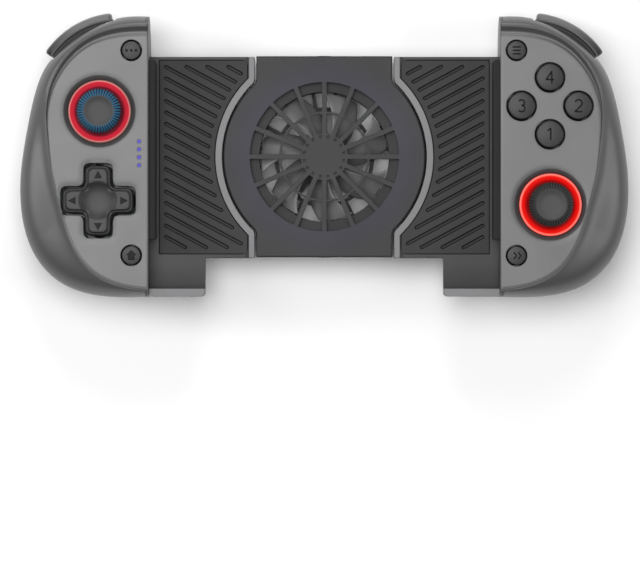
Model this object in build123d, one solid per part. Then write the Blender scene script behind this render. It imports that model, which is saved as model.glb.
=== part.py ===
from build123d import *
from math import atan2, cos, degrees, radians, sin, sqrt, tan
import os

# Telescopic phone grip with a cooling fan, in millimetres, closed.
# The part lies on its back: X runs along its length, Y towards the shoulder buttons,
# Z towards the player. The origin is under the middle of the whole part, on the surface it lies on.
# Everything on a grip is drawn for the right grip, where X grows outwards, and mirrored for the left one.

# Shared clearances and cuts
overrun = 1.0                 # how far a cutting tool runs past the face it cuts
seat_gap = 0.3                # between pieces that lie beside each other
slide_gap = 0.35              # between the tray and the channel it slides in
pin_gap = 0.05                # between a pin and its hole, on the radius
button_gap = 0.4              # round a round button, in its hole
rubber_gap = 0.2              # between a pressed button and its rubber dome
full_turn = 360.0             # degrees

# Grip body
grip_inner_x = 56.3           # centre of the part to the grip's inner wall
grip_width = 41.65
grip_length = 89.87
grip_middle_y = -0.935
rim_top = 32.3
face_drop = 0.8               # crest of the rim down to the face
parting_height = 20.0
shell_wall = 1.8
face_wall = 1.8
rim_inner_step = 0.4          # crest of the rim to the top of the slope down to the face
rim_outer_step = 2.0          # crest of the rim to the foot of that slope
rim_open_lift = 0.15          # how far the rim's slope is carried above the crest
grip_outer_x = grip_inner_x + grip_width
grip_middle_x = grip_inner_x + grip_width / 2
grip_front_y = grip_middle_y - grip_length / 2
grip_back_y = grip_middle_y + grip_length / 2
face_height = rim_top - face_drop
face_underside = face_height - face_wall

# Points round a grip, from the shoulder side of the inner wall, out and round to its front:
# share of the width from the inner wall, share of the length from the front.
silhouette_shares = (
    (-0.05, 1.0), (0.228, 0.997), (0.456, 0.954), (0.629, 0.9), (0.785, 0.832), (0.872, 0.744),
    (0.944, 0.598), (0.996, 0.4225), (0.982, 0.282), (0.867, 0.134), (0.665, 0.044), (0.329, 0.0),
    (-0.05, 0.0),
)
crest_shares = (
    (-0.05, 0.98), (0.228, 0.978), (0.396, 0.967), (0.559, 0.928), (0.687, 0.866), (0.766, 0.794),
    (0.804, 0.605), (0.792, 0.449), (0.73, 0.316), (0.612, 0.181), (0.478, 0.105), (0.302, 0.054),
    (-0.05, 0.019),
)
# Sections below the parting plane: share of its height, of the width and of the length.
lower_level_shares = (
    (0.0, 0.62, 0.8), (0.11, 0.75, 0.875), (0.3, 0.875, 0.935), (0.55, 0.955, 0.975), (1.0, 1.0, 1.0),
)
# Sections above it: share of the height left, share of the way from the silhouette to the crest.
upper_level_shares = ((0.4, 0.06), (0.73, 0.3), (0.9, 0.62), (1.0, 1.0))

# Fan and its module in the plan, from the fan's tips outwards
fan_y = -0.85                 # the fan's centre, a little to the front
rotor_tip_radius = 20.4
tip_gap = 0.5                 # between the blades' tips and the duct
shroud_wall = 3.5
light_ring_gap = 0.2
light_ring_width = 1.4
frame_ring_width = 4.3
seat_ring_step = 1.7          # frame ring's bore to the seat ring's bore
seat_ring_width = 2.0
fan_wall = 1.6
fan_body_half_width = 21.9
fan_body_step = 0.1           # how much less the module's ends reach than its round sides
fan_body_fillet = 3.0
grille_step = 0.4             # duct's outside to the grille's opening
grille_hub_radius = 7.6
grille_ring_radius = 14.2
grille_ring_width = 0.7
spoke_count = 16
spoke_width = 1.55
hub_dot_radius = 0.45
hub_dot_circle = 6.5
hub_dot_depth = 0.5
shroud_inner_radius = rotor_tip_radius + tip_gap
shroud_outer_radius = shroud_inner_radius + shroud_wall
grille_radius = shroud_outer_radius - grille_step
light_ring_inner_radius = shroud_outer_radius + light_ring_gap
light_ring_outer_radius = light_ring_inner_radius + light_ring_width
frame_ring_inner_radius = light_ring_outer_radius + seat_gap
frame_ring_outer_radius = frame_ring_inner_radius + frame_ring_width
seat_ring_inner_radius = frame_ring_inner_radius + seat_ring_step
seat_ring_outer_radius = seat_ring_inner_radius + seat_ring_width
fan_body_radius = frame_ring_outer_radius + seat_gap + fan_wall
fan_body_half_length = fan_body_radius - fan_body_step

# Heights in the fan module and the tray
fan_top = 18.0
fan_bottom = 3.5
fan_cover_plate = 2.5
fan_base_plate = 2.0
fan_edge_fillet = 0.5
fan_foot_chamfer = 1.6
tray_cover_gap = 1.0          # between the tray and the cover above it
tray_height = 6.0
tray_floor = 2.0
module_parting_drop = 2.0     # tray's top to the plane where the module's halves meet
light_ring_thickness = 0.9
cover_underside = fan_top - fan_cover_plate
base_floor = fan_bottom + fan_base_plate
tray_top = cover_underside - tray_cover_gap
tray_bottom = tray_top - tray_height
tray_floor_top = tray_bottom + tray_floor
fan_parting = tray_top - module_parting_drop

# Vent comb
vent_count = 8
vent_pitch = 4.1
vent_width = 2.9
vent_height = 5.0

# Fan
rear_guard_thickness = 1.2
rear_guard_ring_radius = 15.6
rear_guard_ring_width = 1.2
rear_guard_strut_count = 5
rear_guard_strut_width = 1.8
rear_guard_fork_width = 1.2
rear_guard_fork_angle = 10.0
motor_disc_radius = 7.4
bush_outer_radius = 2.3
bush_depth = 0.8              # how far the bush is let into the motor disc
bush_top_drop = 2.5           # hub's top to the bush's top
stator_outer_radius = 5.4
stator_top_gap = 1.0
rotor_shaft_radius = 1.0
rotor_hub_radius = 7.0
rotor_hub_wall = 1.0
rotor_lift = 1.2              # motor disc to the rotor's hub
rotor_cover_gap = 2.0         # rotor's hub to the cover
blade_inset = 0.1             # blades, inside the hub's height at each end
blade_count = 7
blade_chord = 11.0
blade_thickness = 0.9
blade_pitch = 24.0
guard_top = base_floor + rear_guard_thickness
rotor_hub_bottom = guard_top + rotor_lift
rotor_hub_top = cover_underside - rotor_cover_gap
blade_bottom = rotor_hub_bottom + blade_inset
blade_top = rotor_hub_top - blade_inset
bush_top = rotor_hub_top - bush_top_drop
stator_top = rotor_hub_top - rotor_hub_wall - stator_top_gap

# Centre screws
centre_screw_side_step = 3.3  # module's side to a screw's axis
centre_screw_end_step = 3.8   # module's end to a screw's axis
centre_boss_radius = 2.4
centre_screw_radius = 0.9
centre_head_radius = 1.7
centre_head_height = 1.2
centre_head_depth = 0.4       # the head's face, below the surface round it
centre_screw_end_gap = 0.5
centre_screw_x = fan_body_half_width - centre_screw_side_step
centre_screw_y = fan_body_half_length - centre_screw_end_step

# USB-C ports
port_width = 8.94
port_height = 3.16
port_length = 7.3
port_corner = 1.4
port_wall = 0.3
port_depth = 6.2
port_tongue_width = 6.7
port_tongue_height = 0.7
port_inset = 0.2
port_gap = 0.25
port_cut_depth = 5.4          # how far the opening for the grip's socket is cut
fan_board_half_width = 14.0
fan_board_length = 5.8
fan_board_thickness = 1.4
fan_post_x = 11.0
fan_post_radius = 1.8
grip_port_from_wall = 9.7
grip_port_z = 8.2
grip_port_x = grip_inner_x + grip_port_from_wall
port_front_y = fan_y - fan_body_half_length

# Tray that carries the two grips, and its springs
tray_overlap = 15.7           # how far the closed tray reaches into a grip
tray_half_width = 20.5
rail_width = 4.0
spring_radius = 1.2
spring_bore_gap = 0.3
spring_ring_step = 5.4        # frame ring's outside to the springs' inner ends
spring_post_radius = 1.5
tray_stop_gap = 2.0
tray_reach = grip_inner_x + tray_overlap
spring_inner_x = frame_ring_outer_radius + spring_ring_step
channel_half_width = tray_half_width + slide_gap
channel_bottom = tray_bottom - slide_gap
channel_top = tray_top + slide_gap
channel_end = tray_reach + tray_stop_gap
rail_middle = tray_half_width - rail_width / 2
rail_axis_height = (tray_bottom + tray_top) / 2

# Wing plate, which lies level with the fan's cover
wing_floor = 1.65             # thickness below the tray's channel
wing_side_gap = 0.6           # wing plate to the module's side
wing_arc_gap = 0.5            # wing plate to the module's round side
wing_end_step = 0.25          # how far the plate lies to the front of the module at both ends
wing_corner = 2.4
wing_lip = 4.5                # how far each lip reaches under the tray
wing_top = fan_top
wing_bottom = channel_bottom - wing_floor
wing_inner_x = fan_body_half_width + wing_side_gap
wing_arc_radius = fan_body_radius + wing_arc_gap
wing_back_y = fan_y + fan_body_half_length - wing_end_step
wing_front_y = fan_y - fan_body_half_length - wing_end_step

# Pad
pad_outer_step = 3.0          # grip's inner wall to the pad
pad_inner_step = 2.1          # wing plate's other edges to the pad
pad_arc_step = 2.2
pad_back_step = 0.95
pad_front_step = 1.2
pad_corner = 2.0
pad_recess = 1.2
pad_thickness = 1.1
pad_fit_gap = 0.1
groove_width = 0.93
groove_depth = 0.6
groove_slope = 28.4
groove_pitch = 3.65
groove_count = 25
groove_start_rise = 12.65     # pad's back edge to where the first groove's line meets the pad's outer end
groove_margin = 1.6
pad_outer_x = grip_inner_x - pad_outer_step
pad_inner_x = wing_inner_x + pad_inner_step
pad_arc_radius = wing_arc_radius + pad_arc_step
pad_back_y = wing_back_y - pad_back_step
pad_front_y = wing_front_y + pad_front_step
groove_top_y = pad_back_y + groove_start_rise

# Ledge and clamp strip
ledge_length = 18.0
ledge_thickness = 3.0
ledge_wall = 2.55
ledge_wall_rise = 9.8         # wing plate to the top of the ledge's wall
ledge_fillet = 1.2
strip_thickness = 2.3
strip_front_step = 6.0        # wing plate's front edge to the strip
strip_back_step = 1.4
strip_lift = 0.4
strip_fillet = 0.8
ledge_inner_x = grip_inner_x - ledge_length
ledge_bottom = wing_top - ledge_thickness
ledge_wall_top = wing_top + ledge_wall_rise
strip_front_y = wing_front_y + strip_front_step
strip_back_y = wing_back_y - strip_back_step
strip_bottom = wing_top + strip_lift
strip_top = face_underside - seat_gap

# Boards, bosses and screws in the grips
board_thickness = 1.6
board_face_drop = 14.6        # face down to the board
board_wall_gap = 0.4
board_side_step = 8.45        # grip's widest point to the board's outer edge
board_back_step = 7.5
board_front_step = 9.37
board_corner = 3.0
back_screw_offset = (4.7, 18.8)       # from the inner wall and from the grip's back end
front_screw_offset = (4.0, 20.27)     # from the inner wall and from the grip's front end
side_screw_offset = (8.875, -1.065)   # from the grip's middle
rear_boss_radius = 2.6
front_boss_radius = 2.2
grip_screw_radius = 1.0
grip_screw_bite = 6.1         # board's top to the screw's end
grip_head_radius = 1.9
grip_head_height = 1.3
grip_head_seat = 3.4
board_top = face_height - board_face_drop
board_bottom = board_top - board_thickness
board_inner_x = grip_inner_x + shell_wall + board_wall_gap
board_outer_x = grip_outer_x - board_side_step
board_back_y = grip_back_y - board_back_step
board_front_y = grip_front_y + board_front_step
grip_screw_top = board_top + grip_screw_bite

# Battery, between the tray's channel and the left grip's front, and vibration motor
battery_from_wall = 7.7
battery_from_front = 11.02
battery_width = 16.0
battery_height = 6.8
battery_channel_gap = 0.75
battery_board_gap = 1.1
battery_seat_margin = 2.0
rumble_offset = (3.875, -11.565)      # from the grip's middle
rumble_radius = 3.4
rumble_length = 10.0
rumble_board_drop = 6.0       # board to the motor's axis
cradle_width = 5.0
cradle_depth = 1.4            # how far the motor sinks into its cradle
battery_inner_x = grip_inner_x + battery_from_wall
battery_front_y = grip_front_y + battery_from_front
battery_length = fan_y - channel_half_width - battery_channel_gap - battery_front_y
battery_bottom = board_bottom - battery_board_gap - battery_height
rumble_height = board_bottom - rumble_board_drop

# Thumb sticks
left_stick_offset = (-5.125, 14.335)  # from the grip's middle
right_stick_offset = (-4.725, -15.565)
stick_pivot_lift = 4.6        # board to the stick's pivot
stick_hole_radius = 10.1
bezel_width = 1.3
bezel_depth = 0.6
ring_hole_gap = 0.1
ring_flange_reach = 1.1       # how far the ring's flange reaches past the hole
ring_flange_thickness = 1.1
ring_lip_width = 0.7
ring_lip_drop = 0.5
ring_bore_radius = 6.6
ring_bore_drop = 2.5
cap_radius = 7.2
cap_rise = 8.5                # face to the cap's top
cap_thickness = 3.4
cap_edge = 0.5
cap_dish_radius = 4.6
cap_dish_depth = 0.8
cap_dish_slope = 0.6
cap_neck_radius = 2.8
cap_neck_flare = 1.4
dome_radius = 9.5
dome_wall = 0.6
dome_angle = 50.0
stick_press = 0.5
stick_rod_radius = 1.2
stick_rod_tail = 2.2          # rod below the pivot
stick_rod_cover = 2.7         # rubber over the rod's end
rod_bore_gap = 0.1
stick_box_width = 15.0
stick_box_rise = 1.9          # housing above the pivot
stick_cup_radius = 5.5
stick_cup_floor = 1.0
yoke_outer_radius = 5.0
yoke_inner_radius = 3.6
yoke_half_height = 0.9
trunnion_radius = 0.9
trunnion_reach = 7.2
cross_pin_radius = 0.6
cross_pin_reach = 4.6
bezel_radius = stick_hole_radius + bezel_width
ring_radius = stick_hole_radius - ring_hole_gap
ring_flange_radius = stick_hole_radius + ring_flange_reach
ring_bore_height = face_height - ring_bore_drop
cap_top = face_height + cap_rise
stick_pivot_height = board_top + stick_pivot_lift
stick_box_top = stick_pivot_height + stick_box_rise
stick_rod_bottom = stick_pivot_height - stick_rod_tail
stick_rod_top = cap_top - stick_rod_cover

# D-pad
dpad_offset = (-4.725, -14.265)       # from the grip's middle
dpad_span = 23.9
dpad_arm_width = 8.9
dpad_corner = 1.6
dpad_gap = 0.5
dpad_rise = 2.1               # face to the cross's top
dpad_edge = 0.6
dpad_dish_radius = 6.6
dpad_dish_depth = 0.7
dpad_pivot_drop = 4.0         # face to the pivot
dpad_stem_tail = 1.5
dpad_post_radius = 6.2
dpad_post_rise = 1.4          # post above the pivot
dpad_cup_radius = 5.3
dpad_cup_depth = 3.2          # cup below the pivot
dpad_yoke_outer_radius = 4.6
dpad_yoke_inner_radius = 3.3
dpad_yoke_half_height = 0.8
dpad_trunnion_radius = 0.8
dpad_trunnion_reach = 5.9
dpad_cross_pin_radius = 0.5
dpad_leg_circle = 9.2
dpad_leg_radius = 1.4
dpad_travel = 0.9             # drop of a leg when its arm is pressed
dpad_bottom = face_underside + seat_gap
dpad_top = face_height + dpad_rise
dpad_pivot_height = face_height - dpad_pivot_drop
dpad_stem_bottom = dpad_pivot_height - dpad_stem_tail
dpad_post_top = dpad_pivot_height + dpad_post_rise
dpad_cup_floor = dpad_pivot_height - dpad_cup_depth

# Buttons
face_buttons_offset = (-4.925, 16.085)        # from the grip's middle
face_button_circle = 9.1
face_button_radius = 4.5
face_button_rise = 1.8
face_button_travel = 1.2
small_button_radius = 3.05
small_button_rise = 0.6
small_button_travel = 0.8
more_offset = (5.5, 11.1)     # from the inner wall and from the grip's back end
menu_offset = (5.2, 11.1)
home_offset = (5.5, 13.17)    # from the inner wall and from the grip's front end
turbo_offset = (5.2, 13.07)
button_flange = 0.7           # how far a button's flange reaches past its hole
button_flange_thickness = 1.4
button_edge = 0.6
button_stem_radius = 2.0
button_stem_lift = 5.1        # board to the end of a stem or leg
dome_base_radius = 2.8
dome_tip_radius = 1.6
face_button_top = face_height + face_button_rise
small_button_top = face_height + small_button_rise
button_stem_bottom = board_top + button_stem_lift

# Indicator lights
light_from_wall = 3.0
light_back_rise = 4.685       # grip's middle to the rearmost light
light_pitch = 2.54
light_count = 4
light_radius = 0.57
light_bar_width = 1.5
light_bar_drop = 1.0
light_gap = 0.05
light_sink = 0.05
light_x = grip_inner_x + light_from_wall
light_back_y = grip_middle_y + light_back_rise

# Shoulder buttons, as arcs about one centre
shoulder_offset = (9.7, 27.3)         # from the inner wall and from the grip's back end
shoulder_start = 36.0         # angles about that centre
shoulder_end = 85.0
shoulder_side_gap = 1.2       # angle left free at each end
shoulder_parting_gap = 0.6    # trigger and bumper to the shells' parting plane
pocket_wall_angle = 2.6
pocket_inner_radius = 21.0
pocket_wall = 1.5
pocket_roof = 4.0             # face to the pocket
pocket_bottom = 7.0
pocket_overreach = 5.0        # how far the pocket is cut past the trigger
trigger_arm_gap = 0.9
trigger_depth = 7.1           # trigger's arm to its outside
trigger_plate = 2.6
trigger_foot_gap = 1.6
trigger_arm_height = 3.8
trigger_pin_step = 1.6
trigger_pin_radius = 0.8
trigger_edge = 0.8
bumper_wall_gap = 1.8
bumper_depth = 3.9
bumper_roof_gap = 0.4
bumper_edge = 0.7
bumper_pin_step = 1.8
bumper_pin_angle = 82.0
bumper_pin_radius = 0.8
bumper_pin_embed = 1.2        # how far the bumper's pin goes into the shell above it
edge_tolerance = 0.18         # for picking the edges on an outer arc
shoulder_middle = (shoulder_start + shoulder_end) / 2
pocket_top = face_height - pocket_roof
trigger_arm_radius = pocket_inner_radius + trigger_arm_gap
trigger_outer_radius = trigger_arm_radius + trigger_depth
trigger_inner_radius = trigger_outer_radius - trigger_plate
pocket_outer_radius = trigger_outer_radius + pocket_overreach
trigger_bottom = pocket_bottom + trigger_foot_gap
trigger_top = parting_height - shoulder_parting_gap
trigger_arm_bottom = trigger_top - trigger_arm_height
trigger_pin_circle = trigger_arm_radius + trigger_pin_step
trigger_pin_height = (trigger_arm_bottom + trigger_top) / 2
bumper_inner_radius = pocket_inner_radius + bumper_wall_gap
bumper_outer_radius = bumper_inner_radius + bumper_depth
bumper_bottom = parting_height + shoulder_parting_gap
bumper_top = pocket_top - bumper_roof_gap
bumper_pin_circle = bumper_inner_radius + bumper_pin_step


def from_middle(offset):
    """The plan point at an offset from a grip's middle."""
    return (grip_middle_x + offset[0], grip_middle_y + offset[1])


def from_back(offset):
    """The plan point at a distance from a grip's inner wall and one from its back end."""
    return (grip_inner_x + offset[0], grip_back_y - offset[1])


def from_front(offset):
    """The plan point at a distance from a grip's inner wall and one from its front end."""
    return (grip_inner_x + offset[0], grip_front_y + offset[1])


# Places of the pieces of a grip
grip_screw_places = (
    from_back(back_screw_offset), from_front(front_screw_offset), from_middle(side_screw_offset),
)
rumble_place = from_middle(rumble_offset)
left_stick_place = from_middle(left_stick_offset)
right_stick_place = from_middle(right_stick_offset)
dpad_place = from_middle(dpad_offset)
face_button_centre = from_middle(face_buttons_offset)
more_place = from_back(more_offset)
menu_place = from_back(menu_offset)
home_place = from_front(home_offset)
turbo_place = from_front(turbo_offset)
shoulder_centre = from_back(shoulder_offset)


def box_between(x0, x1, y0, y1, z0, z1):
    """A box between two corners."""
    return Pos((x0 + x1) / 2, (y0 + y1) / 2, (z0 + z1) / 2) * Box(x1 - x0, y1 - y0, z1 - z0)


def post(place, radius, bottom, top):
    """An upright cylinder over a place in the plan."""
    return Pos(place[0], place[1], (bottom + top) / 2) * Cylinder(radius, top - bottom)


def tube(place, inner, outer, bottom, top):
    """An upright ring over a place in the plan."""
    return post(place, outer, bottom, top) - post(place, inner, bottom - overrun, top + overrun)


def prism(sketch, bottom, top):
    """A flat outline carried straight up from one height to another."""
    return Pos(0, 0, bottom) * extrude(sketch, amount=top - bottom)


def bar_x(x0, x1, y, z, radius):
    """A cylinder along X."""
    return Pos((x0 + x1) / 2, y, z) * Rot(0, 90, 0) * Cylinder(radius, x1 - x0)


def bar_y(x, y0, y1, z, radius):
    """A cylinder along Y."""
    return Pos(x, (y0 + y1) / 2, z) * Rot(90, 0, 0) * Cylinder(radius, y1 - y0)


def polar(centre, radius, angle):
    """The plan point at a radius and an angle in degrees about a centre."""
    return (centre[0] + radius * cos(radians(angle)), centre[1] + radius * sin(radians(angle)))


def sector(inner, outer, start, end, bottom, top):
    """A part of a ring about the shoulder centre, between two angles."""
    middle = (start + end) / 2
    c = shoulder_centre
    outline = (
        Line(polar(c, inner, start), polar(c, outer, start))
        + ThreePointArc(polar(c, outer, start), polar(c, outer, middle), polar(c, outer, end))
        + Line(polar(c, outer, end), polar(c, inner, end))
        + ThreePointArc(polar(c, inner, end), polar(c, inner, middle), polar(c, inner, start))
    )
    return prism(make_face(outline), bottom, top)


def turned(profile):
    """A profile of radius and height, turned about Z."""
    points = [(radius, 0, height) for radius, height in profile]
    return revolve(make_face(Polyline(*points, close=True)), axis=Axis.Z)


def on_side(shape, side):
    """The shape as drawn for the right grip, or mirrored for the left one."""
    return shape if side > 0 else mirror(shape, about=Plane.YZ)


def save(name, shape):
    export_step(shape, f"parts/{name}.step")


# Grip shells


def grip_section(height, width_share, length_share, rim_share, inset):
    """One level outline of a grip: between silhouette and crest by rim_share, drawn in by inset."""
    width = (grip_width * width_share) * (1 - inset / grip_width)
    length = (grip_length * length_share) * (1 - 2 * inset / grip_length)
    points = []
    for (u0, v0), (u1, v1) in zip(silhouette_shares, crest_shares):
        u = u0 + (u1 - u0) * rim_share
        v = v0 + (v1 - v0) * rim_share
        points.append((grip_inner_x + u * width, grip_middle_y + (v - 1 / 2) * length, height))
    return Face(Wire([Edge.make_spline(points), Edge.make_line(points[-1], points[0])]))


def grip_form(inset):
    """The grip's whole rounded body, or with an inset the hollow inside its walls."""
    top = face_underside if inset > 0 else rim_top
    sections = []
    for height_share, width_share, length_share in lower_level_shares:
        height = inset + parting_height * height_share * (top - inset) / rim_top
        sections.append(grip_section(height, width_share, length_share, 0, inset))
    for height_share, rim_share in upper_level_shares:
        full = parting_height + (rim_top - parting_height) * height_share
        sections.append(grip_section(inset + full * (top - inset) / rim_top, 1, 1, rim_share, inset))
    inner = grip_inner_x + inset
    keep = box_between(
        inner, inner + 2 * grip_width, -grip_length, grip_length, -overrun, rim_top + overrun,
    )
    return loft(sections) & keep


def face_recess():
    """The tool that sinks the face below the rim, with a sloping edge."""
    foot = grip_section(face_height, 1, 1, 1, rim_outer_step)
    edge = grip_section(rim_top + rim_open_lift, 1, 1, 1, rim_inner_step)
    return loft([foot, edge], ruled=True)


def shoulder_pocket():
    """The space cut out of the shells for the bumper and the trigger."""
    return sector(
        pocket_inner_radius, pocket_outer_radius, shoulder_start, shoulder_end, pocket_bottom, pocket_top,
    )


def shoulder_block():
    """The walls that close the shells behind and beside the shoulder pocket."""
    return sector(
        pocket_inner_radius - pocket_wall, pocket_outer_radius, shoulder_start - pocket_wall_angle,
        shoulder_end + pocket_wall_angle, pocket_bottom - pocket_wall, pocket_top + pocket_wall,
    )


def trigger_pin(extra):
    """The trigger's hinge pin, a chord across the pocket, or its hole with some extra radius."""
    place = polar(shoulder_centre, trigger_pin_circle, shoulder_middle)
    half_angle = (shoulder_end - shoulder_start) / 2
    reach = trigger_pin_circle * sin(radians(half_angle))
    rod = Cylinder(trigger_pin_radius + extra, 2 * reach)
    return Pos(place[0], place[1], trigger_pin_height) * Rot(0, 0, shoulder_middle) * Rot(90, 0, 0) * rod


def bumper_pin(extra, bottom, top):
    """The bumper's upright hinge pin, or its hole."""
    place = polar(shoulder_centre, bumper_pin_circle, bumper_pin_angle)
    return post(place, bumper_pin_radius + extra, bottom, top)


def tray_channel(x0, x1):
    """The space in which the tray slides."""
    y0 = fan_y - channel_half_width
    y1 = fan_y + channel_half_width
    return box_between(x0, x1, y0, y1, channel_bottom, channel_top)


def cross_outline(place, span, arm, corner):
    """The D-pad's cross, with rounded ends."""
    cross = Rectangle(span, arm) + Rectangle(arm, span)
    tips = [v for v in cross.vertices() if max(abs(v.X), abs(v.Y)) > span / 2 - dpad_gap]
    return Pos(place[0], place[1]) * fillet(tips, corner)


def front_shell(stick, small_places, round_places, with_dpad, with_lights):
    """A grip's upper shell: the face with its rim, holes and bosses, down to the parting plane."""
    outer = grip_form(0)
    upper = box_between(
        grip_inner_x - overrun, grip_inner_x + 2 * grip_width, -grip_length, grip_length,
        parting_height, rim_top + overrun,
    )
    shell = (outer - grip_form(shell_wall)) & upper
    shell += shoulder_block() & outer & upper
    shell -= face_recess()
    for place in grip_screw_places:
        shell += post(place, front_boss_radius, board_top, face_underside + face_wall / 2)
        shell -= post(place, grip_screw_radius + pin_gap, board_top - overrun, grip_screw_top + overrun)
    shell -= shoulder_pocket()
    shell -= bumper_pin(pin_gap, parting_height, pocket_top + bumper_pin_embed)
    shell -= post(stick, stick_hole_radius, face_underside - overrun, rim_top)
    bezel_floor = face_height - bezel_depth
    bezel = (
        (0, bezel_floor), (stick_hole_radius, bezel_floor), (bezel_radius, face_height), (0, face_height),
    )
    shell -= Pos(stick[0], stick[1], 0) * turned(bezel)
    for place in small_places:
        shell -= post(place, small_button_radius + button_gap, face_underside - overrun, rim_top)
    for place in round_places:
        shell -= post(place, face_button_radius + button_gap, face_underside - overrun, rim_top)
    if with_dpad:
        hole = cross_outline(dpad_place, dpad_span + 2 * dpad_gap, dpad_arm_width + 2 * dpad_gap, dpad_corner)
        shell -= prism(hole, face_underside - overrun, rim_top)
    if with_lights:
        for number in range(light_count):
            place = (light_x, light_back_y - number * light_pitch)
            shell -= post(place, light_radius + light_gap, face_underside - overrun, rim_top)
    return shell


def rear_shell(with_port):
    """A grip's lower shell: the rounded back with its bosses and the mouth of the tray channel."""
    outer = grip_form(0)
    lower = box_between(
        grip_inner_x - overrun, grip_inner_x + 2 * grip_width, -grip_length, grip_length,
        -overrun, parting_height,
    )
    shell = (outer - grip_form(shell_wall)) & lower
    shell += shoulder_block() & outer & lower
    bosses = [post(place, rear_boss_radius, 0, board_bottom) for place in grip_screw_places]
    bosses.append(box_between(
        channel_end + slide_gap, channel_end + slide_gap + 2 * spring_post_radius,
        fan_y - rail_middle - spring_post_radius, fan_y + rail_middle + spring_post_radius,
        0, rail_axis_height + spring_post_radius,
    ))
    if with_port:
        bosses.append(battery_seat())
        bosses.append(grip_port_seat())
    else:
        bosses.append(rumble_cradle())
    for boss in bosses:
        shell += boss & outer
    for place in grip_screw_places:
        shell -= post(place, grip_screw_radius + pin_gap, -overrun, board_bottom + overrun)
        shell -= post(place, grip_head_radius + seat_gap, -overrun, grip_head_seat)
    shell -= shoulder_pocket()
    shell -= trigger_pin(pin_gap)
    shell -= tray_channel(grip_inner_x - overrun, grip_inner_x + shell_wall + overrun)
    if with_port:
        shell -= grip_port_cut()
    return shell


def rumble_cradle():
    """The block in the right grip in which the vibration motor lies."""
    x, y = rumble_place
    block = box_between(
        x - cradle_width / 2, x + cradle_width / 2, y - rumble_length / 2, y + rumble_length / 2,
        0, rumble_height - rumble_radius + cradle_depth,
    )
    return block - bar_y(x, y - rumble_length, y + rumble_length, rumble_height, rumble_radius + pin_gap)


def battery_seat():
    """The block under the battery, a margin inside its plan."""
    margin = battery_seat_margin
    return box_between(
        battery_inner_x + margin, battery_inner_x + battery_width - margin,
        battery_front_y + margin, battery_front_y + battery_length - margin, 0, battery_bottom,
    )


def battery():
    """The cell, with its long edges rounded."""
    cell = box_between(
        battery_inner_x, battery_inner_x + battery_width, battery_front_y, battery_front_y + battery_length,
        battery_bottom, battery_bottom + battery_height,
    )
    return fillet(cell.edges().filter_by(Axis.Y), battery_seat_margin / 2)


def rumble_motor():
    """A small vibration motor lying along Y in its cradle, with its off-centre weight."""
    x, y = rumble_place
    can = bar_y(x, y - rumble_length / 2, y + rumble_length / 2, rumble_height, rumble_radius)
    weight_end = y + rumble_length / 2 + rumble_radius
    weight = bar_y(x, y + rumble_length / 2, weight_end, rumble_height, rumble_radius - cradle_depth / 2)
    upper_half = box_between(
        x - rumble_radius, x + rumble_radius, y, weight_end + overrun,
        rumble_height, rumble_height + 2 * rumble_radius,
    )
    return can + (weight & upper_half)


def board():
    """A grip's circuit board, with holes for the bosses and a cut-out round the shoulder pocket."""
    x_middle = (board_inner_x + board_outer_x) / 2
    y_middle = (board_back_y + board_front_y) / 2
    plan = Rectangle(board_outer_x - board_inner_x, board_back_y - board_front_y)
    plan = Pos(x_middle, y_middle) * fillet(plan.vertices(), board_corner)
    plate = prism(plan, board_bottom, board_top)
    inside = grip_form(shell_wall + seat_gap)
    plate = plate & inside
    plate -= sector(
        pocket_inner_radius - pocket_wall - seat_gap, 2 * pocket_outer_radius,
        shoulder_start - 2 * pocket_wall_angle, shoulder_end + 2 * pocket_wall_angle,
        board_bottom - overrun, board_top + overrun,
    )
    for place in grip_screw_places:
        plate -= post(place, grip_screw_radius + seat_gap, board_bottom - overrun, board_top + overrun)
    return plate


def grip_screws():
    """The three screws that hold a grip's shells and board together, put in from the back."""
    screws = []
    for place in grip_screw_places:
        head = post(place, grip_head_radius, grip_head_seat - grip_head_height, grip_head_seat)
        slot = Pos(place[0], place[1], grip_head_seat - grip_head_height) * Box(
            grip_head_radius, grip_screw_radius / 2, grip_head_height
        )
        screws.append(head - slot + post(place, grip_screw_radius, grip_head_seat, grip_screw_top))
    return Compound(children=screws)


# USB-C ports


def port_body(x, y, z):
    """A USB-C socket whose mouth looks along -Y at y, with its shell and tongue."""
    outline = RectangleRounded(port_width, port_height, port_corner)
    mouth = RectangleRounded(port_width - 2 * port_wall, port_height - 2 * port_wall, port_corner - port_wall)
    body = extrude(outline, amount=port_length) - extrude(mouth, amount=port_depth)
    body += Pos(0, 0, port_length / 2) * Box(port_tongue_width, port_tongue_height, port_length)
    return Pos(x, y, z) * Rot(-90, 0, 0) * body


def port_opening(x, y, z, depth):
    """The hole in a wall through which a plug reaches its socket."""
    outline = RectangleRounded(port_width + 2 * port_gap, port_height + 2 * port_gap, port_corner + port_gap)
    return Pos(x, y - overrun, z) * Rot(-90, 0, 0) * extrude(outline, amount=depth + overrun)


def grip_port_front():
    """Where the grip's front wall stands at the height of its socket."""
    outline = grip_section(grip_port_z, 1, lower_level_shares[2][2], 0, 0)
    return outline.bounding_box().min.Y


def grip_port_seat():
    """The block under the left grip's socket."""
    back = grip_port_front() + port_inset + port_length
    return box_between(
        grip_port_x - port_width / 2, grip_port_x + port_width / 2,
        back - port_length + shell_wall, back, 0, grip_port_z - port_height / 2,
    )


def grip_port_cut():
    return port_opening(grip_port_x, grip_port_front() - shell_wall, grip_port_z, port_cut_depth)


def grip_port():
    return port_body(grip_port_x, grip_port_front() + port_inset, grip_port_z)


# Wing plates with their pads and clamp strips


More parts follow.
